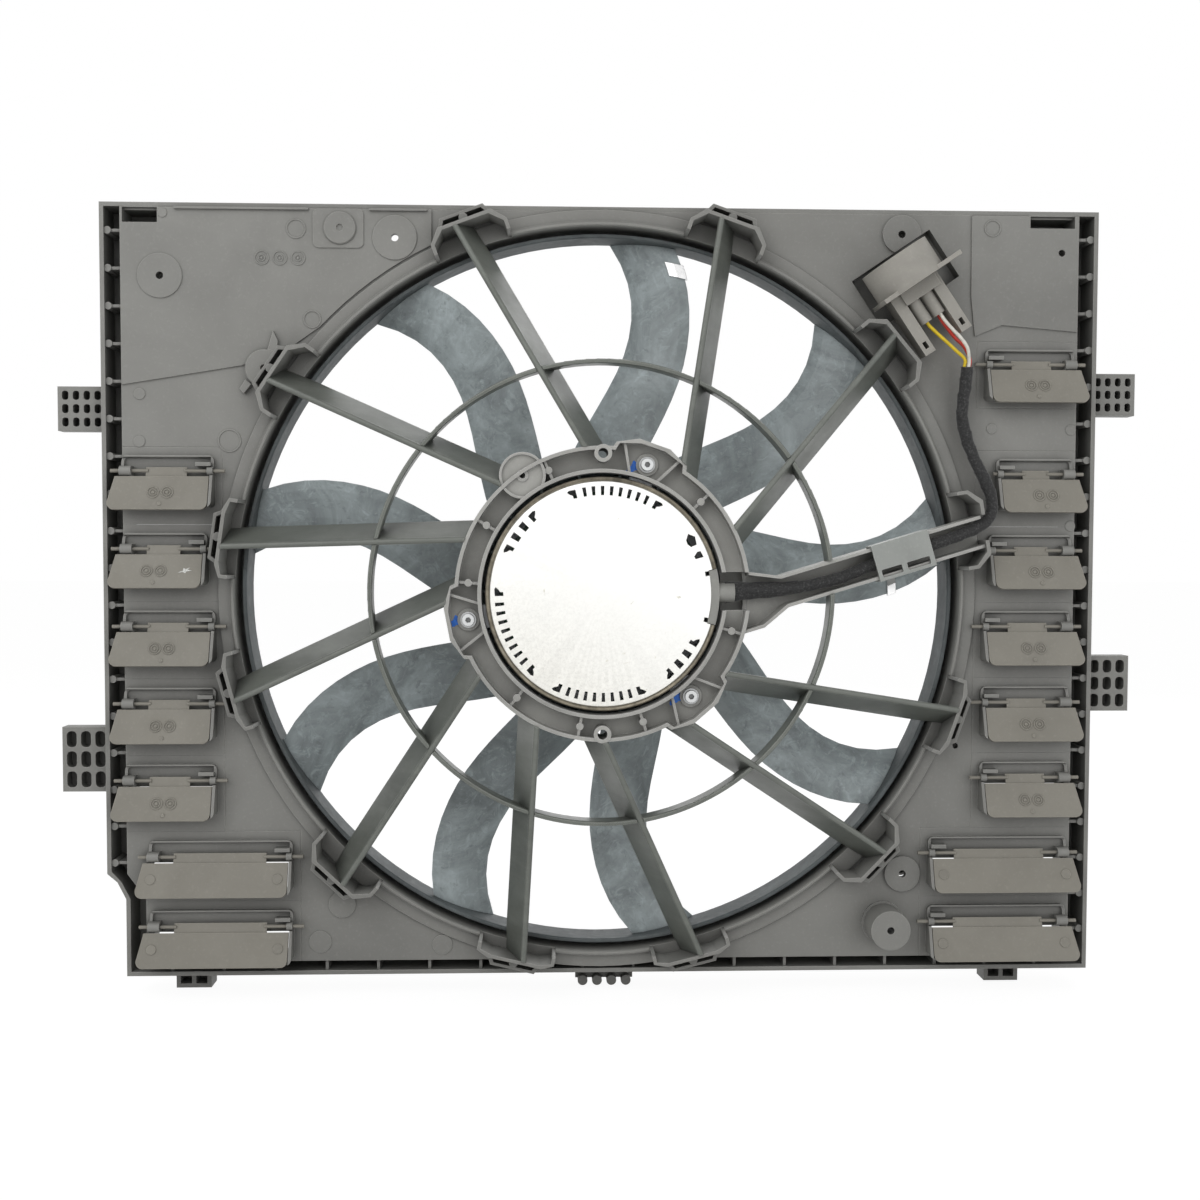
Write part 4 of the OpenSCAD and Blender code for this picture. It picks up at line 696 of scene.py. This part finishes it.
class RADFAN_OT_shroud(bpy.types.Operator):
    """Gives the shroud its moulded grey plastic"""

    bl_idname = "radfan.shroud"
    bl_label = "Shroud"

    def execute(self, context):
        settings = context.scene.fan_shroud_settings
        plate = moulded_plastic("shroud_plastic", tuple(settings.colour))
        # The vanes' edges are painted lighter than the plate's, as wear and painted highlight.
        vane = moulded_plastic("vane_plastic", tuple(settings.vane_colour), patch=12, contrast=0.3,
                               roughness=0.36, streak=(14, 14, 90), edge=3.2, wear_and_highlight_width=0.0015)
        web = moulded_plastic("carrier_plastic", shade(tuple(settings.colour), WEB_LIFT), patch=16, contrast=0.25,
                              depth=0.5)
        dress([n for n in SHROUD_NODES if n not in VANE_NODES + WEB_NODES], plate)
        dress(VANE_NODES, vane)
        dress(WEB_NODES, web)
        return {"FINISHED"}


# Side brackets: inner edge, middle, width with its side's sign, height, columns and rows of pockets
BRACKETS = [
    (-347, 128, -33, 31, 4, 3), (-347, -119, -33, 46, 3, 3), (353, 142, 32, 30, 4, 3), (353, -66, 31, 40, 3, 3),
]
BRACKET_LOW = 24.0
BRACKET_HIGH = 36.0
# The closed back behind the pockets, the bars between them, and a pocket's corner as a share of its shorter side
BRACKET_BACK = 1.5
BAR = 3.0
POCKET_CORNER = 0.42
# How far a cutter runs past the face that it opens
PAST = 2


class RADFAN_OT_brackets(bpy.types.Operator):
    """Builds the side brackets, with rows of round-ended pockets, over their solids"""

    bl_idname = "radfan.brackets"
    bl_label = "Side brackets"

    def execute(self, context):
        body, cutter = bmesh.new(), bmesh.new()
        for edge, middle, width, height, columns, rows in BRACKETS:
            x0, y0 = min(edge, edge + width), middle - height / 2
            w = (abs(width) - (columns + 1) * BAR) / columns
            h = (height - (rows + 1) * BAR) / rows
            prism(body, rectangle(x0, y0, x0 + abs(width), y0 + height), BRACKET_LOW, BRACKET_HIGH)
            for c in range(columns):
                for r in range(rows):
                    x, y = x0 + BAR + c * (w + BAR), y0 + BAR + r * (h + BAR)
                    pocket = rounded(x, y, x + w, y + h, min(w, h) * POCKET_CORNER)
                    prism(cutter, pocket, BRACKET_LOW + BRACKET_BACK, BRACKET_HIGH + PAST)
        mesh = carved(mesh_from(body, "bracket_blanks"), mesh_from(cutter, "bracket_pockets"), "slotted_brackets")
        plastic = NODES["side_brackets"].data.materials[0]
        brackets = piece("slotted_brackets", mesh, plastic, "shroud")
        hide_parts("side_brackets")
        return {"FINISHED"}


class RADFAN_OT_flaps(bpy.types.Operator):
    """Gives the ram-air flaps their warm grey plastic"""

    bl_idname = "radfan.flaps"
    bl_label = "Flaps"

    def execute(self, context):
        colour = tuple(context.scene.fan_flap_settings.colour)
        dress(FLAP_NODES, moulded_plastic("flap_plastic", colour, patch=18, contrast=0.12, roughness=0.55))
        return {"FINISHED"}


class RADFAN_OT_wheel(bpy.types.Operator):
    """Gives the fan wheel its bluish glass-filled plastic"""

    bl_idname = "radfan.wheel"
    bl_label = "Fan wheel"

    def execute(self, context):
        colour = tuple(context.scene.fan_wheel_settings.colour)
        dress(["fan_hub", "fan_blades"], mottled_plastic("wheel_plastic", colour))
        # The band is a darker copy of the wheel's plastic: painted shade where it sits deep in the barrel.
        dress(["fan_band"], mottled_plastic("band_plastic", shade(colour, 0.3), 0.55))
        dress(["balance_clips"], bare_metal("clip_steel", (0.72, 0.72, 0.72), 0.28))
        return {"FINISHED"}


# Motor cover: the level of its face, and its section as radii and depths below that face
COVER_Z = 88.0
COVER_SECTION = [
    (0, 1.2), (74.6, 1.2), (76.2, 2.0), (78.3, 2.3), (78.3, 8), (79.5, 8), (79.5, 1.9), (79.2, 1.25),
    (78.5, 0.95), (77.8, 1.1), (77.2, 1.5), (76.7, 1.3), (76.3, 0.55), (75.9, 0.15), (75.2, 0), (0, 0),
]
# Groups of vent slots: angles of the first and last plain slot, their count, half width, and the way to the lobes
VENT_R = 69.9
VENTS = [
    (65.4, 100.2, 8, 1.25, 6.1), (185.6, 220.4, 8, 1.25, 6.0), (250.6, 285.4, 8, 1.25, 5.7),
    (139.6, 146.8, 2, 2.2, 7.1), (317.7, 324.8, 2, 2.2, 7.1),
]
# A plain slot's reach inwards and outwards, and its narrower inner end as a share
SLOT_IN = 3.0
SLOT_OUT = 3.1
SLOT_TAPER = 0.8
# Outlines round a place on the vent circle, outwards and sideways
LOBE = [(-2.9, -1.6), (2.9, -1.8), (3.3, 2.6), (2.4, 4.2), (0.6, 2.7), (-0.6, 0.9), (-2.6, 0.9)]
# Two odd slots beside the gland: their angle and outline
ODD_SLOTS = [
    (22.1, [(-2.6, -1.6), (2.8, -2.2), (2.4, 2.2), (0.2, 2.6), (-2.9, 0.4)]),
    (31.6, [(-2.2, -4.1), (1.8, -4.6), (3.6, 0.6), (0.6, 4.6), (-2.8, 1.6), (-3.4, -1.2)]),
]
SLOT_DEPTH = 4
# The opening over the gland: angles, radii and depth, and the notch in each inner corner
GLAND_SPAN = (-15.5, 12.8)
GLAND_REACH = (73.5, 90)
GLAND_DEPTH = 20
NOTCH = [(-2.6, -1.2), (3, -1.2), (3, 1.9), (-2.6, 1.9)]
NOTCH_R = 73.4
NOTCH_IN = 1.9


class RADFAN_OT_cover(bpy.types.Operator):
    """Builds the pressed motor cover with its lobed vent slots over its solid"""

    bl_idname = "radfan.cover"
    bl_label = "Motor cover"

    def execute(self, context):
        bm = bmesh.new()
        turned(bm, Vector((0, 0, 0)), OUT, [(r, COVER_Z - depth) for r, depth in COVER_SECTION], 180)
        mesh = carved(mesh_from(bm, "cover_shell"), self.cutter(), "cover_pressing", 30)
        cover = piece("cover_pressing", mesh, NODES["motor_cover"].data.materials[0], "shroud")
        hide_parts("motor_cover")
        return {"FINISHED"}

    @staticmethod
    def cutter():
        """Mesh of all that is cut from the cover: its vent slots and the opening over the gland."""
        bm = bmesh.new()

        def slot(outline, angle):
            prism(bm, turned_outline(outline, angle, VENT_R), COVER_Z - SLOT_DEPTH, COVER_Z + PAST)

        for first, last, count, half, beyond in VENTS:
            step = (last - first) / (count - 1)
            narrow = SLOT_TAPER * half
            plain = [(-SLOT_IN, -narrow), (SLOT_OUT, -half), (SLOT_OUT, half), (-SLOT_IN, narrow)]
            for i in range(count):
                slot(plain, first + i * step)
            for side, angle in ((-1, first - beyond), (1, last + beyond)):
                slot([(u, side * v) for u, v in LOBE], angle)
        for angle, outline in ODD_SLOTS:
            slot(outline, angle)
        low, high = GLAND_SPAN
        levels = (COVER_Z - GLAND_DEPTH, COVER_Z + 2 * PAST)
        prism(bm, ring_sector(low, high, *GLAND_REACH), *levels)
        for angle, side in ((high - NOTCH_IN, 1), (low + NOTCH_IN, -1)):
            prism(bm, turned_outline([(u, side * v) for u, v in NOTCH], angle, NOTCH_R), *levels)
        return mesh_from(bm, "cover_cutter")


class RADFAN_OT_motor(bpy.types.Operator):
    """Gives the motor its cover, housing, windings and screws"""

    bl_idname = "radfan.motor"
    bl_label = "Motor"

    def execute(self, context):
        settings = context.scene.fan_motor_settings
        dress(["motor_cover"], pressed_cover("cover_metal", tuple(settings.cover)))
        dress(["motor_housing"], bare_metal("cast_housing", (0.45, 0.46, 0.47), 0.5, 60, 0.1))
        # Painted shade darkens the screws' corners.
        dress(["motor_screws", "hub_screws"], bare_metal("zinc_screws", tuple(settings.screw), 0.28, corner_shade=0.9))
        dress(["bearings", "motor_shaft"], bare_metal("ground_steel", (0.66, 0.67, 0.68), 0.2, 120, 0.04))
        dress(["stator_core"], bare_metal("core_sheets", (0.28, 0.28, 0.30), 0.45, 1.0, 0.25, (20, 900, 20)))
        dress(["windings"], bare_metal("enamelled_copper", (0.66, 0.27, 0.11), 0.3, 1.0, 0.3, (300, 1600, 300)))
        dress(["rotor_cup"], bare_metal("zinc_cup", (0.40, 0.41, 0.42), 0.4, 40, 0.12))
        dress(["rotor_magnets"], moulded_plastic("sintered_magnet", (0.05, 0.05, 0.055), 60, 0.3, 0.6))
        dress(["circuit_board"], moulded_plastic("solder_mask", (0.02, 0.10, 0.045), 40, 0.25, 0.25))
        dress(["capacitors"], moulded_plastic("shrink_sleeve", (0.02, 0.025, 0.05), 40, 0.2, 0.3))
        dress(["cable_gland"], moulded_plastic("gland_plastic", (0.29, 0.29, 0.27), 30, 0.25, 0.5, depth=0.4))
        return {"FINISHED"}


class RADFAN_OT_connector(bpy.types.Operator):
    """Gives the connector and the duct's clip their plastics and the pins their metal"""

    bl_idname = "radfan.connector"
    bl_label = "Connector"

    def execute(self, context):
        dress(["connector_socket", "connector_body"],
              moulded_plastic("connector_plastic", (0.36, 0.345, 0.31), 20, 0.2, 0.48, depth=0.5))
        dress(["duct_clip"], moulded_plastic("clip_plastic", (0.36, 0.375, 0.355), 20, 0.15, 0.5, depth=0.4))
        dress(["connector_pins"], bare_metal("tinned_pins", (0.72, 0.62, 0.38), 0.25))
        return {"FINISHED"}


# The duct's own frame: its angle, its distance off the fan axis, the level of its floor and its slope
DUCT_TURN = math.radians(16.3)
DUCT_OFF = 33.0
DUCT_FLOOR = 72.0
DUCT_SLOPE = math.atan(19 / 171.5)
DUCT_START = 95.0
# The bridge clip: its ends along the duct, half its width, its levels over the floor, and its wall
CLIP_X = (185.0, 227.0)
CLIP_HALF = 12.8
CLIP_LOW = 6.0
CLIP_HIGH = 17.0
CLIP_WALL = 1.5
# Its two windows: ends measured from the clip's own start, their two sides, and their corners
WINDOWS = [(2.6, 17.8), (21.6, 38.6)]
WINDOW_SIDES = (-10.6, -5.2)
WINDOW_CORNER = 0.8
# The sill below the gland: angles, radii and levels
SILL_SPAN = (-15.5, 14.5)
SILL_REACH = (83, 99)
SILL_LEVELS = (64, 66.5)


def in_duct(x, y, z):
    """World place of a point given along the duct, across it, and up from its floor."""
    run, up = x - DUCT_START, z
    x = run * math.cos(DUCT_SLOPE) + up * math.sin(DUCT_SLOPE) + DUCT_START
    z = up * math.cos(DUCT_SLOPE) - run * math.sin(DUCT_SLOPE) + DUCT_FLOOR
    y -= DUCT_OFF
    c, s = math.cos(DUCT_TURN), math.sin(DUCT_TURN)
    return at(x * c - y * s, x * s + y * c, z)


class RADFAN_OT_clip(bpy.types.Operator):
    """Builds the bridge clip with its windows over its solid, and the sill between the motor and the duct"""

    bl_idname = "radfan.clip"
    bl_label = "Bridge clip"

    def execute(self, context):
        x0, x1 = CLIP_X
        bm = bmesh.new()
        prism(bm, rectangle(x0, -CLIP_HALF, x1, CLIP_HALF), CLIP_LOW, CLIP_HIGH, in_duct)
        blank = mesh_from(bm, "clip_blank")
        bm = bmesh.new()
        inner = CLIP_HALF - CLIP_WALL
        roof = CLIP_HIGH - CLIP_WALL
        prism(bm, rectangle(x0 - PAST, -inner, x1 + PAST, inner), CLIP_LOW - PAST, roof, in_duct)
        near, far = WINDOW_SIDES
        for start, end in WINDOWS:
            window = rounded(x0 + start, near, x0 + end, far, WINDOW_CORNER, 3)
            prism(bm, window, roof - 1, CLIP_HIGH + PAST, in_duct)
        mesh = carved(blank, mesh_from(bm, "clip_cuts"), "windowed_clip")
        clip = piece("windowed_clip", mesh, NODES["duct_clip"].data.materials[0], "shroud")
        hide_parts("duct_clip")
        bm = bmesh.new()
        prism(bm, ring_sector(*SILL_SPAN, *SILL_REACH), *SILL_LEVELS)
        plastic = NODES["motor_carrier"].data.materials[0]
        piece("duct_sill", mesh_from(bm, "duct_sill"), plastic, "shroud")
        return {"FINISHED"}


# Marks on the plate: right, up, radius, and the level of the plate there
PLATE_Z = 45.0
FIELD_Z = 46.2
PLATE_DISCS = [
    (-320.6, 137.7, 4.0, PLATE_Z), (-321.0, 104.8, 4.0, PLATE_Z), (-303.3, 262.0, 3.2, FIELD_Z),
    (335.2, 115.9, 3.6, PLATE_Z), (278.2, 116.5, 3.6, PLATE_Z), (336.0, 47.6, 3.6, PLATE_Z),
    (-198.0, -248.4, 8.0, PLATE_Z), (-111.7, -251.1, 7.2, PLATE_Z), (-127.0, 227.0, 3.0, PLATE_Z),
]
PLATE_RINGS = [
    (-258.8, 105.5, 8.1, PLATE_Z), (-211.7, 252.0, 6.8, FIELD_Z), (-200.8, 189.7, 6.2, FIELD_Z),
    (276.7, 257.2, 6.0, FIELD_Z),
]
DIAL_PLACES = [(-235.3, 231.8), (-222.8, 231.8), (-210.3, 231.8)]
# Blind cups behind the plate: the cup's place right and up, and its inner radius
CUPS = [
    (-305.5, 219.0, 2.9), (212.0, 252.2, 2.9), (217.5, -199.5, 2.9), (326.5, 240.3, 2.7), (255.2, -110.0, 2.3),
]
# A cup's wall, and its levels from the face of the plate: outer bottom, inner bottom and rim
CUP_WALL = 1.5
CUP_LEVELS = (-8, -7, -2.4)
# A bored ear beside a vane bay with its two ribs, given from the ear's middle, and a bored pad on a square boss
EAR = (-233.8, 155.4)
EAR_RIBS = [
    [(2, 11), (8.5, 9), (9.5, 19), (6.2, 26)],
    [(-13, -8), (-9, -11), (-14.2, -17.5), (-17, -14)],
]
EAR_RIB_RISE = 4
PAD = (-181.4, 252.7)
PAD_RISE = 2
# A pale scratch on one flap: its place right and down from the hinge, and its outline
CHIP_X = -287.7
CHIP_DOWN = 16.2
CHIP = [(-4.6, -1.4), (-1.2, -0.9), (0.4, -1.9), (1.2, -0.5), (4.8, 0.2), (1.8, 0.8), (3.4, 2.4), (0.5, 1.3),
        (-1.0, 2.1), (-1.2, 0.3)]
# Flaps: lean, front face off the hinge, level of the hinges, heights of the hinges, and the marks' way off middle
FLAP_LEAN = math.radians(18)
FLAP_FACE = 1.0
HINGE_Z = 50.5
LEFT_ROWS = [84, 30, -24, -78, -132, -186, -235.5]
RIGHT_ROWS = [161] + LEFT_ROWS
FLAP_SHIFT = 3.6
# Marks on a large and on a small flap: way off its middle and down from its hinge
WIDE_MARK = (44, 15.6)
DIAL_MARK = (4.8, 16.2)
PIN_DOWN = 24.5


def flap_middle(name):
    """Middle of a flap from side to side, its hinge height, and whether it is one of the large ones."""
    side, _, number = name.split("_")
    index = int(number) - 1
    corners = [NODES[name].matrix_world @ Vector(c) for c in NODES[name].bound_box]
    low = min(c.x for c in corners) / MM
    high = max(c.x for c in corners) / MM
    rows = LEFT_ROWS if side == "left" else RIGHT_ROWS
    middle = (low + high) / 2 - (FLAP_SHIFT if side == "left" else -FLAP_SHIFT)
    return middle, rows[index], index >= len(rows) - 2


def on_flap(x, row, down):
    """Place on a flap's face, a distance down from its hinge."""
    y = row - down * math.cos(FLAP_LEAN) + FLAP_FACE * math.sin(FLAP_LEAN)
    z = HINGE_Z + down * math.sin(FLAP_LEAN) + FLAP_FACE * math.cos(FLAP_LEAN)
    return at(x, y, z)


FLAP_OUT = Vector((0, -math.cos(FLAP_LEAN), math.sin(FLAP_LEAN)))


class RADFAN_OT_marks(bpy.types.Operator):
    """Adds the discs, rings and dial places that the moulds leave, the cups, the ear and the scratch"""

    bl_idname = "radfan.marks"
    bl_label = "Mould marks"

    def execute(self, context):
        settings = context.scene.fan_shroud_settings
        plate = moulded_plastic("mark_plastic", tuple(settings.colour), depth=0)
        self.plate_marks(plate, settings.mark_rise)
        self.plate_fittings(plate)
        flap = moulded_plastic("flap_mark_plastic", tuple(context.scene.fan_flap_settings.colour), depth=0)
        for name in FLAP_NODES:
            self.flap_marks(name, flap, settings.mark_rise)
        self.chip()
        return {"FINISHED"}

    @staticmethod
    def chip():
        """A pale scratch, as a thin flake of raised plastic on one flap."""

        def place(x, y, z):
            return on_flap(CHIP_X + x, LEFT_ROWS[1], CHIP_DOWN - y) + FLAP_OUT * (z * MM)

        bm = bmesh.new()
        prism(bm, CHIP, -0.1, 0.15, place)
        s = Shader("scratched_plastic")
        tone = s.ramp(s.noise(900, 4, 0.7), [(0.35, (0.5, 0.5, 0.47)), (0.6, (0.85, 0.85, 0.82))])
        s.set("Base Color", tone)
        s.set("Roughness", 0.7)
        piece("flap_scratch", mesh_from(bm, "flap_scratch"), s.material, "left_flap_2")

    @staticmethod
    def plate_marks(material, rise):
        bm = bmesh.new()
        for x, y, r, z in PLATE_DISCS:
            turned(bm, at(x, y, z), OUT, disc_profile(r, rise))
        for x, y, r, z in PLATE_RINGS:
            turned(bm, at(x, y, z), OUT, ring_profile(r, r - 0.9, rise))
        for x, y in DIAL_PLACES:
            for profile in (ring_profile(5.0, 4.3, rise), ring_profile(2.4, 1.8, rise), disc_profile(0.8, rise)):
                turned(bm, at(x, y, FIELD_Z), OUT, profile)
        piece("plate_marks", mesh_from(bm, "plate_marks"), material, "shroud")

    @staticmethod
    def plate_fittings(material):
        bm = bmesh.new()
        base, bottom, rim = CUP_LEVELS
        for x, y, r in CUPS:
            outer = r + CUP_WALL
            cup = [(0, base), (outer, base), (outer, rim), (r, rim), (r, bottom), (0, bottom)]
            turned(bm, at(x, y, PLATE_Z), OUT, cup)
        piece("blind_bosses", mesh_from(bm, "blind_bosses"), material, "shroud")
        bm = bmesh.new()
        turned(bm, at(*EAR, PLATE_Z), OUT, bored_profile(13.2, 2.4, 5.0))
        for rib in EAR_RIBS:
            prism(bm, [(EAR[0] + x, EAR[1] + y) for x, y in rib], PLATE_Z + ROOT, PLATE_Z + EAR_RIB_RISE)
        turned(bm, at(*PAD, PLATE_Z + PAD_RISE), OUT, bored_profile(11.4, 2.3, 1.6))
        piece("plate_ears", mesh_from(bm, "plate_ears"), material, "shroud")

    @staticmethod
    def flap_marks(name, material, rise):
        middle, row, large = flap_middle(name)
        bm = bmesh.new()
        off, down = WIDE_MARK if large else DIAL_MARK
        profiles = [disc_profile(3.4, rise)] if large else [
            ring_profile(4.2, 3.6, rise), ring_profile(2.5, 2.0, rise), disc_profile(1.0, rise)]
        for x in (middle - off, middle + off):
            for profile in profiles:
                turned(bm, on_flap(x, row, down), FLAP_OUT, profile)
        if not large:
            turned(bm, on_flap(middle, row, PIN_DOWN), FLAP_OUT, disc_profile(1.3, rise), 24)
        piece(name + "_marks", mesh_from(bm, name + "_marks"), material, name)


# Motor screws, and the dabs of paint beside each: place from the screw and radius
SCREWS = [(30.2, 87.7), (-91.0, -17.7), (60.8, -70.0)]
DABS = [(-8.6, -1.6, 2.7), (-11.0, -3.2, 2.2), (-12.9, -4.9, 1.6), (-8.4, 1.2, 1.7)]
DAB_Z = 78.5
DAB_WOBBLE = 0.16


class RADFAN_OT_paint(bpy.types.Operator):
    """Adds the blue paint that marks the tightened motor screws"""

    bl_idname = "radfan.paint"
    bl_label = "Screw paint"

    def execute(self, context):
        settings = context.scene.fan_motor_settings
        bm = bmesh.new()
        for x, y in SCREWS:
            for right, up, r in DABS:
                dab = [(0, -0.2), (r, -0.2), (r * 0.92, 0.14), (0, 0.22)]
                turned(bm, at(x + right, y + up, DAB_Z), OUT, dab, 36, DAB_WOBBLE)
        s = Shader("blue_paint")
        colour = tuple(settings.paint)
        tone = s.ramp(s.noise(500, 4, 0.7), [(0.3, shade(colour, 0.75)), (0.55, colour), (0.75, shade(colour, 1.5))])
        s.set("Base Color", tone)
        s.set("Roughness", 0.4)
        piece("screw_paint", mesh_from(bm, "screw_paint"), s.material, "shroud")
        return {"FINISHED"}


# Routes of the cable, of its thicker wrap at the motor, and of the lead wires: right, up and out
CABLE_ROUTE = [
    (77, 1, 80), (92, 2, 80), (110, 3, 79), (131, 4, 77), (161, 10, 73), (186, 19, 70), (210, 27, 68),
    (232, 34.5, 66), (250, 40.5, 64), (263, 46, 62), (271.5, 52.5, 61), (274.5, 61, 60), (273, 70, 59.5),
    (269, 80, 59), (264, 90, 58), (259.5, 101, 57), (256, 112, 56), (253.5, 124, 56), (254, 136, 57),
    (255, 148, 59), (255, 158, 61),
]
FLARE_ROUTE = [
    (84, 1.2, 79.5), (92, 1.8, 79.3), (101, 2.2, 78.8), (111, 2.8, 78.2), (123, 3.4, 77.4), (135, 5.0, 76.7),
]
# The wrap is pressed flat about its own middle, which falls along its run
FLARE_FALL = 0.056
FLARE_FLAT = 0.68
WIRE_R = 0.0012
WIRE_ROUTES = {
    "yellow": [(252.9, 158, 61.6), (252.9, 163, 62.6), (246, 168.5, 65), (240, 173.5, 66), (232.5, 180, 66),
               (226.5, 186, 65.3), (222.9, 191.4, 65)],
    "white": [(255.4, 157.7, 63.3), (255.4, 162.7, 64.3), (253, 170, 68), (248, 176.5, 69.5), (242, 183, 68.6),
              (236.5, 190, 67), (232.2, 197, 66.6)],
    "red": [(256.8, 158.2, 60.5), (256.8, 163.2, 61.5), (252.5, 171.5, 62.3), (246, 177.5, 62.8), (240.5, 184, 63),
            (235.5, 190.5, 63.3), (231.6, 197, 63.4)],
}
WIRE_COLOURS = {"yellow": (0.86, 0.62, 0.02), "white": (0.86, 0.84, 0.76), "red": (0.66, 0.05, 0.03)}


class RADFAN_OT_cable(bpy.types.Operator):
    """Builds the taped cable and its three lead wires over their solids"""

    bl_idname = "radfan.cable"
    bl_label = "Cable"

    def execute(self, context):
        settings = context.scene.fan_cable_settings
        path = spline_points([at(*p) for p in CABLE_ROUTE], 20)
        lap, radius = settings.lap, settings.radius

        def taped(run, angle):
            turn = (run / lap + angle / (2 * math.pi)) % 1.0
            lumps = 0.035 * math.sin(run * 170 + 1.3 * math.sin(angle)) + 0.02 * math.sin(run * 410 + 3 * angle)
            return radius * (0.93 + 0.10 * turn ** 2 + lumps)

        mesh = swept_tube(path, taped, 48)
        cable = piece("taped_cable", mesh, fleece_tape("fleece_tape", tuple(settings.colour)), "shroud")
        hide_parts("power_cable")
        flare_path = spline_points([at(*p) for p in FLARE_ROUTE], 16)
        flare_length = path_length(flare_path)

        def flared(run, angle):
            share = min(1.0, run / flare_length)
            lumps = 0.05 * math.sin(run * 210 + 2 * angle) + 0.03 * math.sin(run * 520 + 3 * angle)
            return radius * (1.75 - 0.72 * share ** 0.7 + lumps)

        wrap = swept_tube(flare_path, flared, 40)
        start, _, top = FLARE_ROUTE[0]
        for vertex in wrap.vertices:
            level = -(top - (vertex.co.x / MM - start) * FLARE_FALL) * MM
            vertex.co.y = level + FLARE_FLAT * (vertex.co.y - level)
        wires = [piece("tape_flare", wrap, cable.data.materials[0], "shroud")]
        for name, route in WIRE_ROUTES.items():
            wire_path = spline_points([at(*p) for p in route], 8)
            wire = piece(name + "_wire", swept_tube(wire_path, lambda run, angle: WIRE_R, 16),
                         smooth_sheath(name + "_sheath", WIRE_COLOURS[name]), "shroud")
            wires.append(wire)
        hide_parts("lead_wires")
        return {"FINISHED"}


OPERATORS = [RADFAN_OT_stage, RADFAN_OT_cable, RADFAN_OT_shroud, RADFAN_OT_brackets, RADFAN_OT_flaps,
             RADFAN_OT_wheel, RADFAN_OT_motor, RADFAN_OT_cover, RADFAN_OT_connector, RADFAN_OT_clip, RADFAN_OT_marks,
             RADFAN_OT_paint]


class RADFAN_PT_panel(bpy.types.Panel):
    """Lists the pieces and their settings in the sidebar"""

    bl_idname = "RADFAN_PT_panel"
    bl_label = "Radiator Fan"
    bl_space_type = "VIEW_3D"
    bl_region_type = "UI"
    bl_category = "Radiator Fan"

    def draw(self, context):
        for operator in OPERATORS:
            self.layout.operator(operator.bl_idname)
        for key, group in SETTINGS.items():
            box = self.layout.box()
            for name in group.__annotations__:
                box.prop(getattr(context.scene, key), name)


def register():
    for group in SETTINGS.values():
        bpy.utils.register_class(group)
    for key, group in SETTINGS.items():
        setattr(bpy.types.Scene, key, bpy.props.PointerProperty(type=group))
    for operator in OPERATORS:
        bpy.utils.register_class(operator)
    bpy.utils.register_class(RADFAN_PT_panel)


def unregister():
    bpy.utils.unregister_class(RADFAN_PT_panel)
    for operator in reversed(OPERATORS):
        bpy.utils.unregister_class(operator)
    for key, group in reversed(SETTINGS.items()):
        delattr(bpy.types.Scene, key)
        bpy.utils.unregister_class(group)


def main():
    register()
    for operator in OPERATORS:
        group, name = operator.bl_idname.split(".")
        getattr(getattr(bpy.ops, group), name)()


if __name__ == "__main__":
    main()
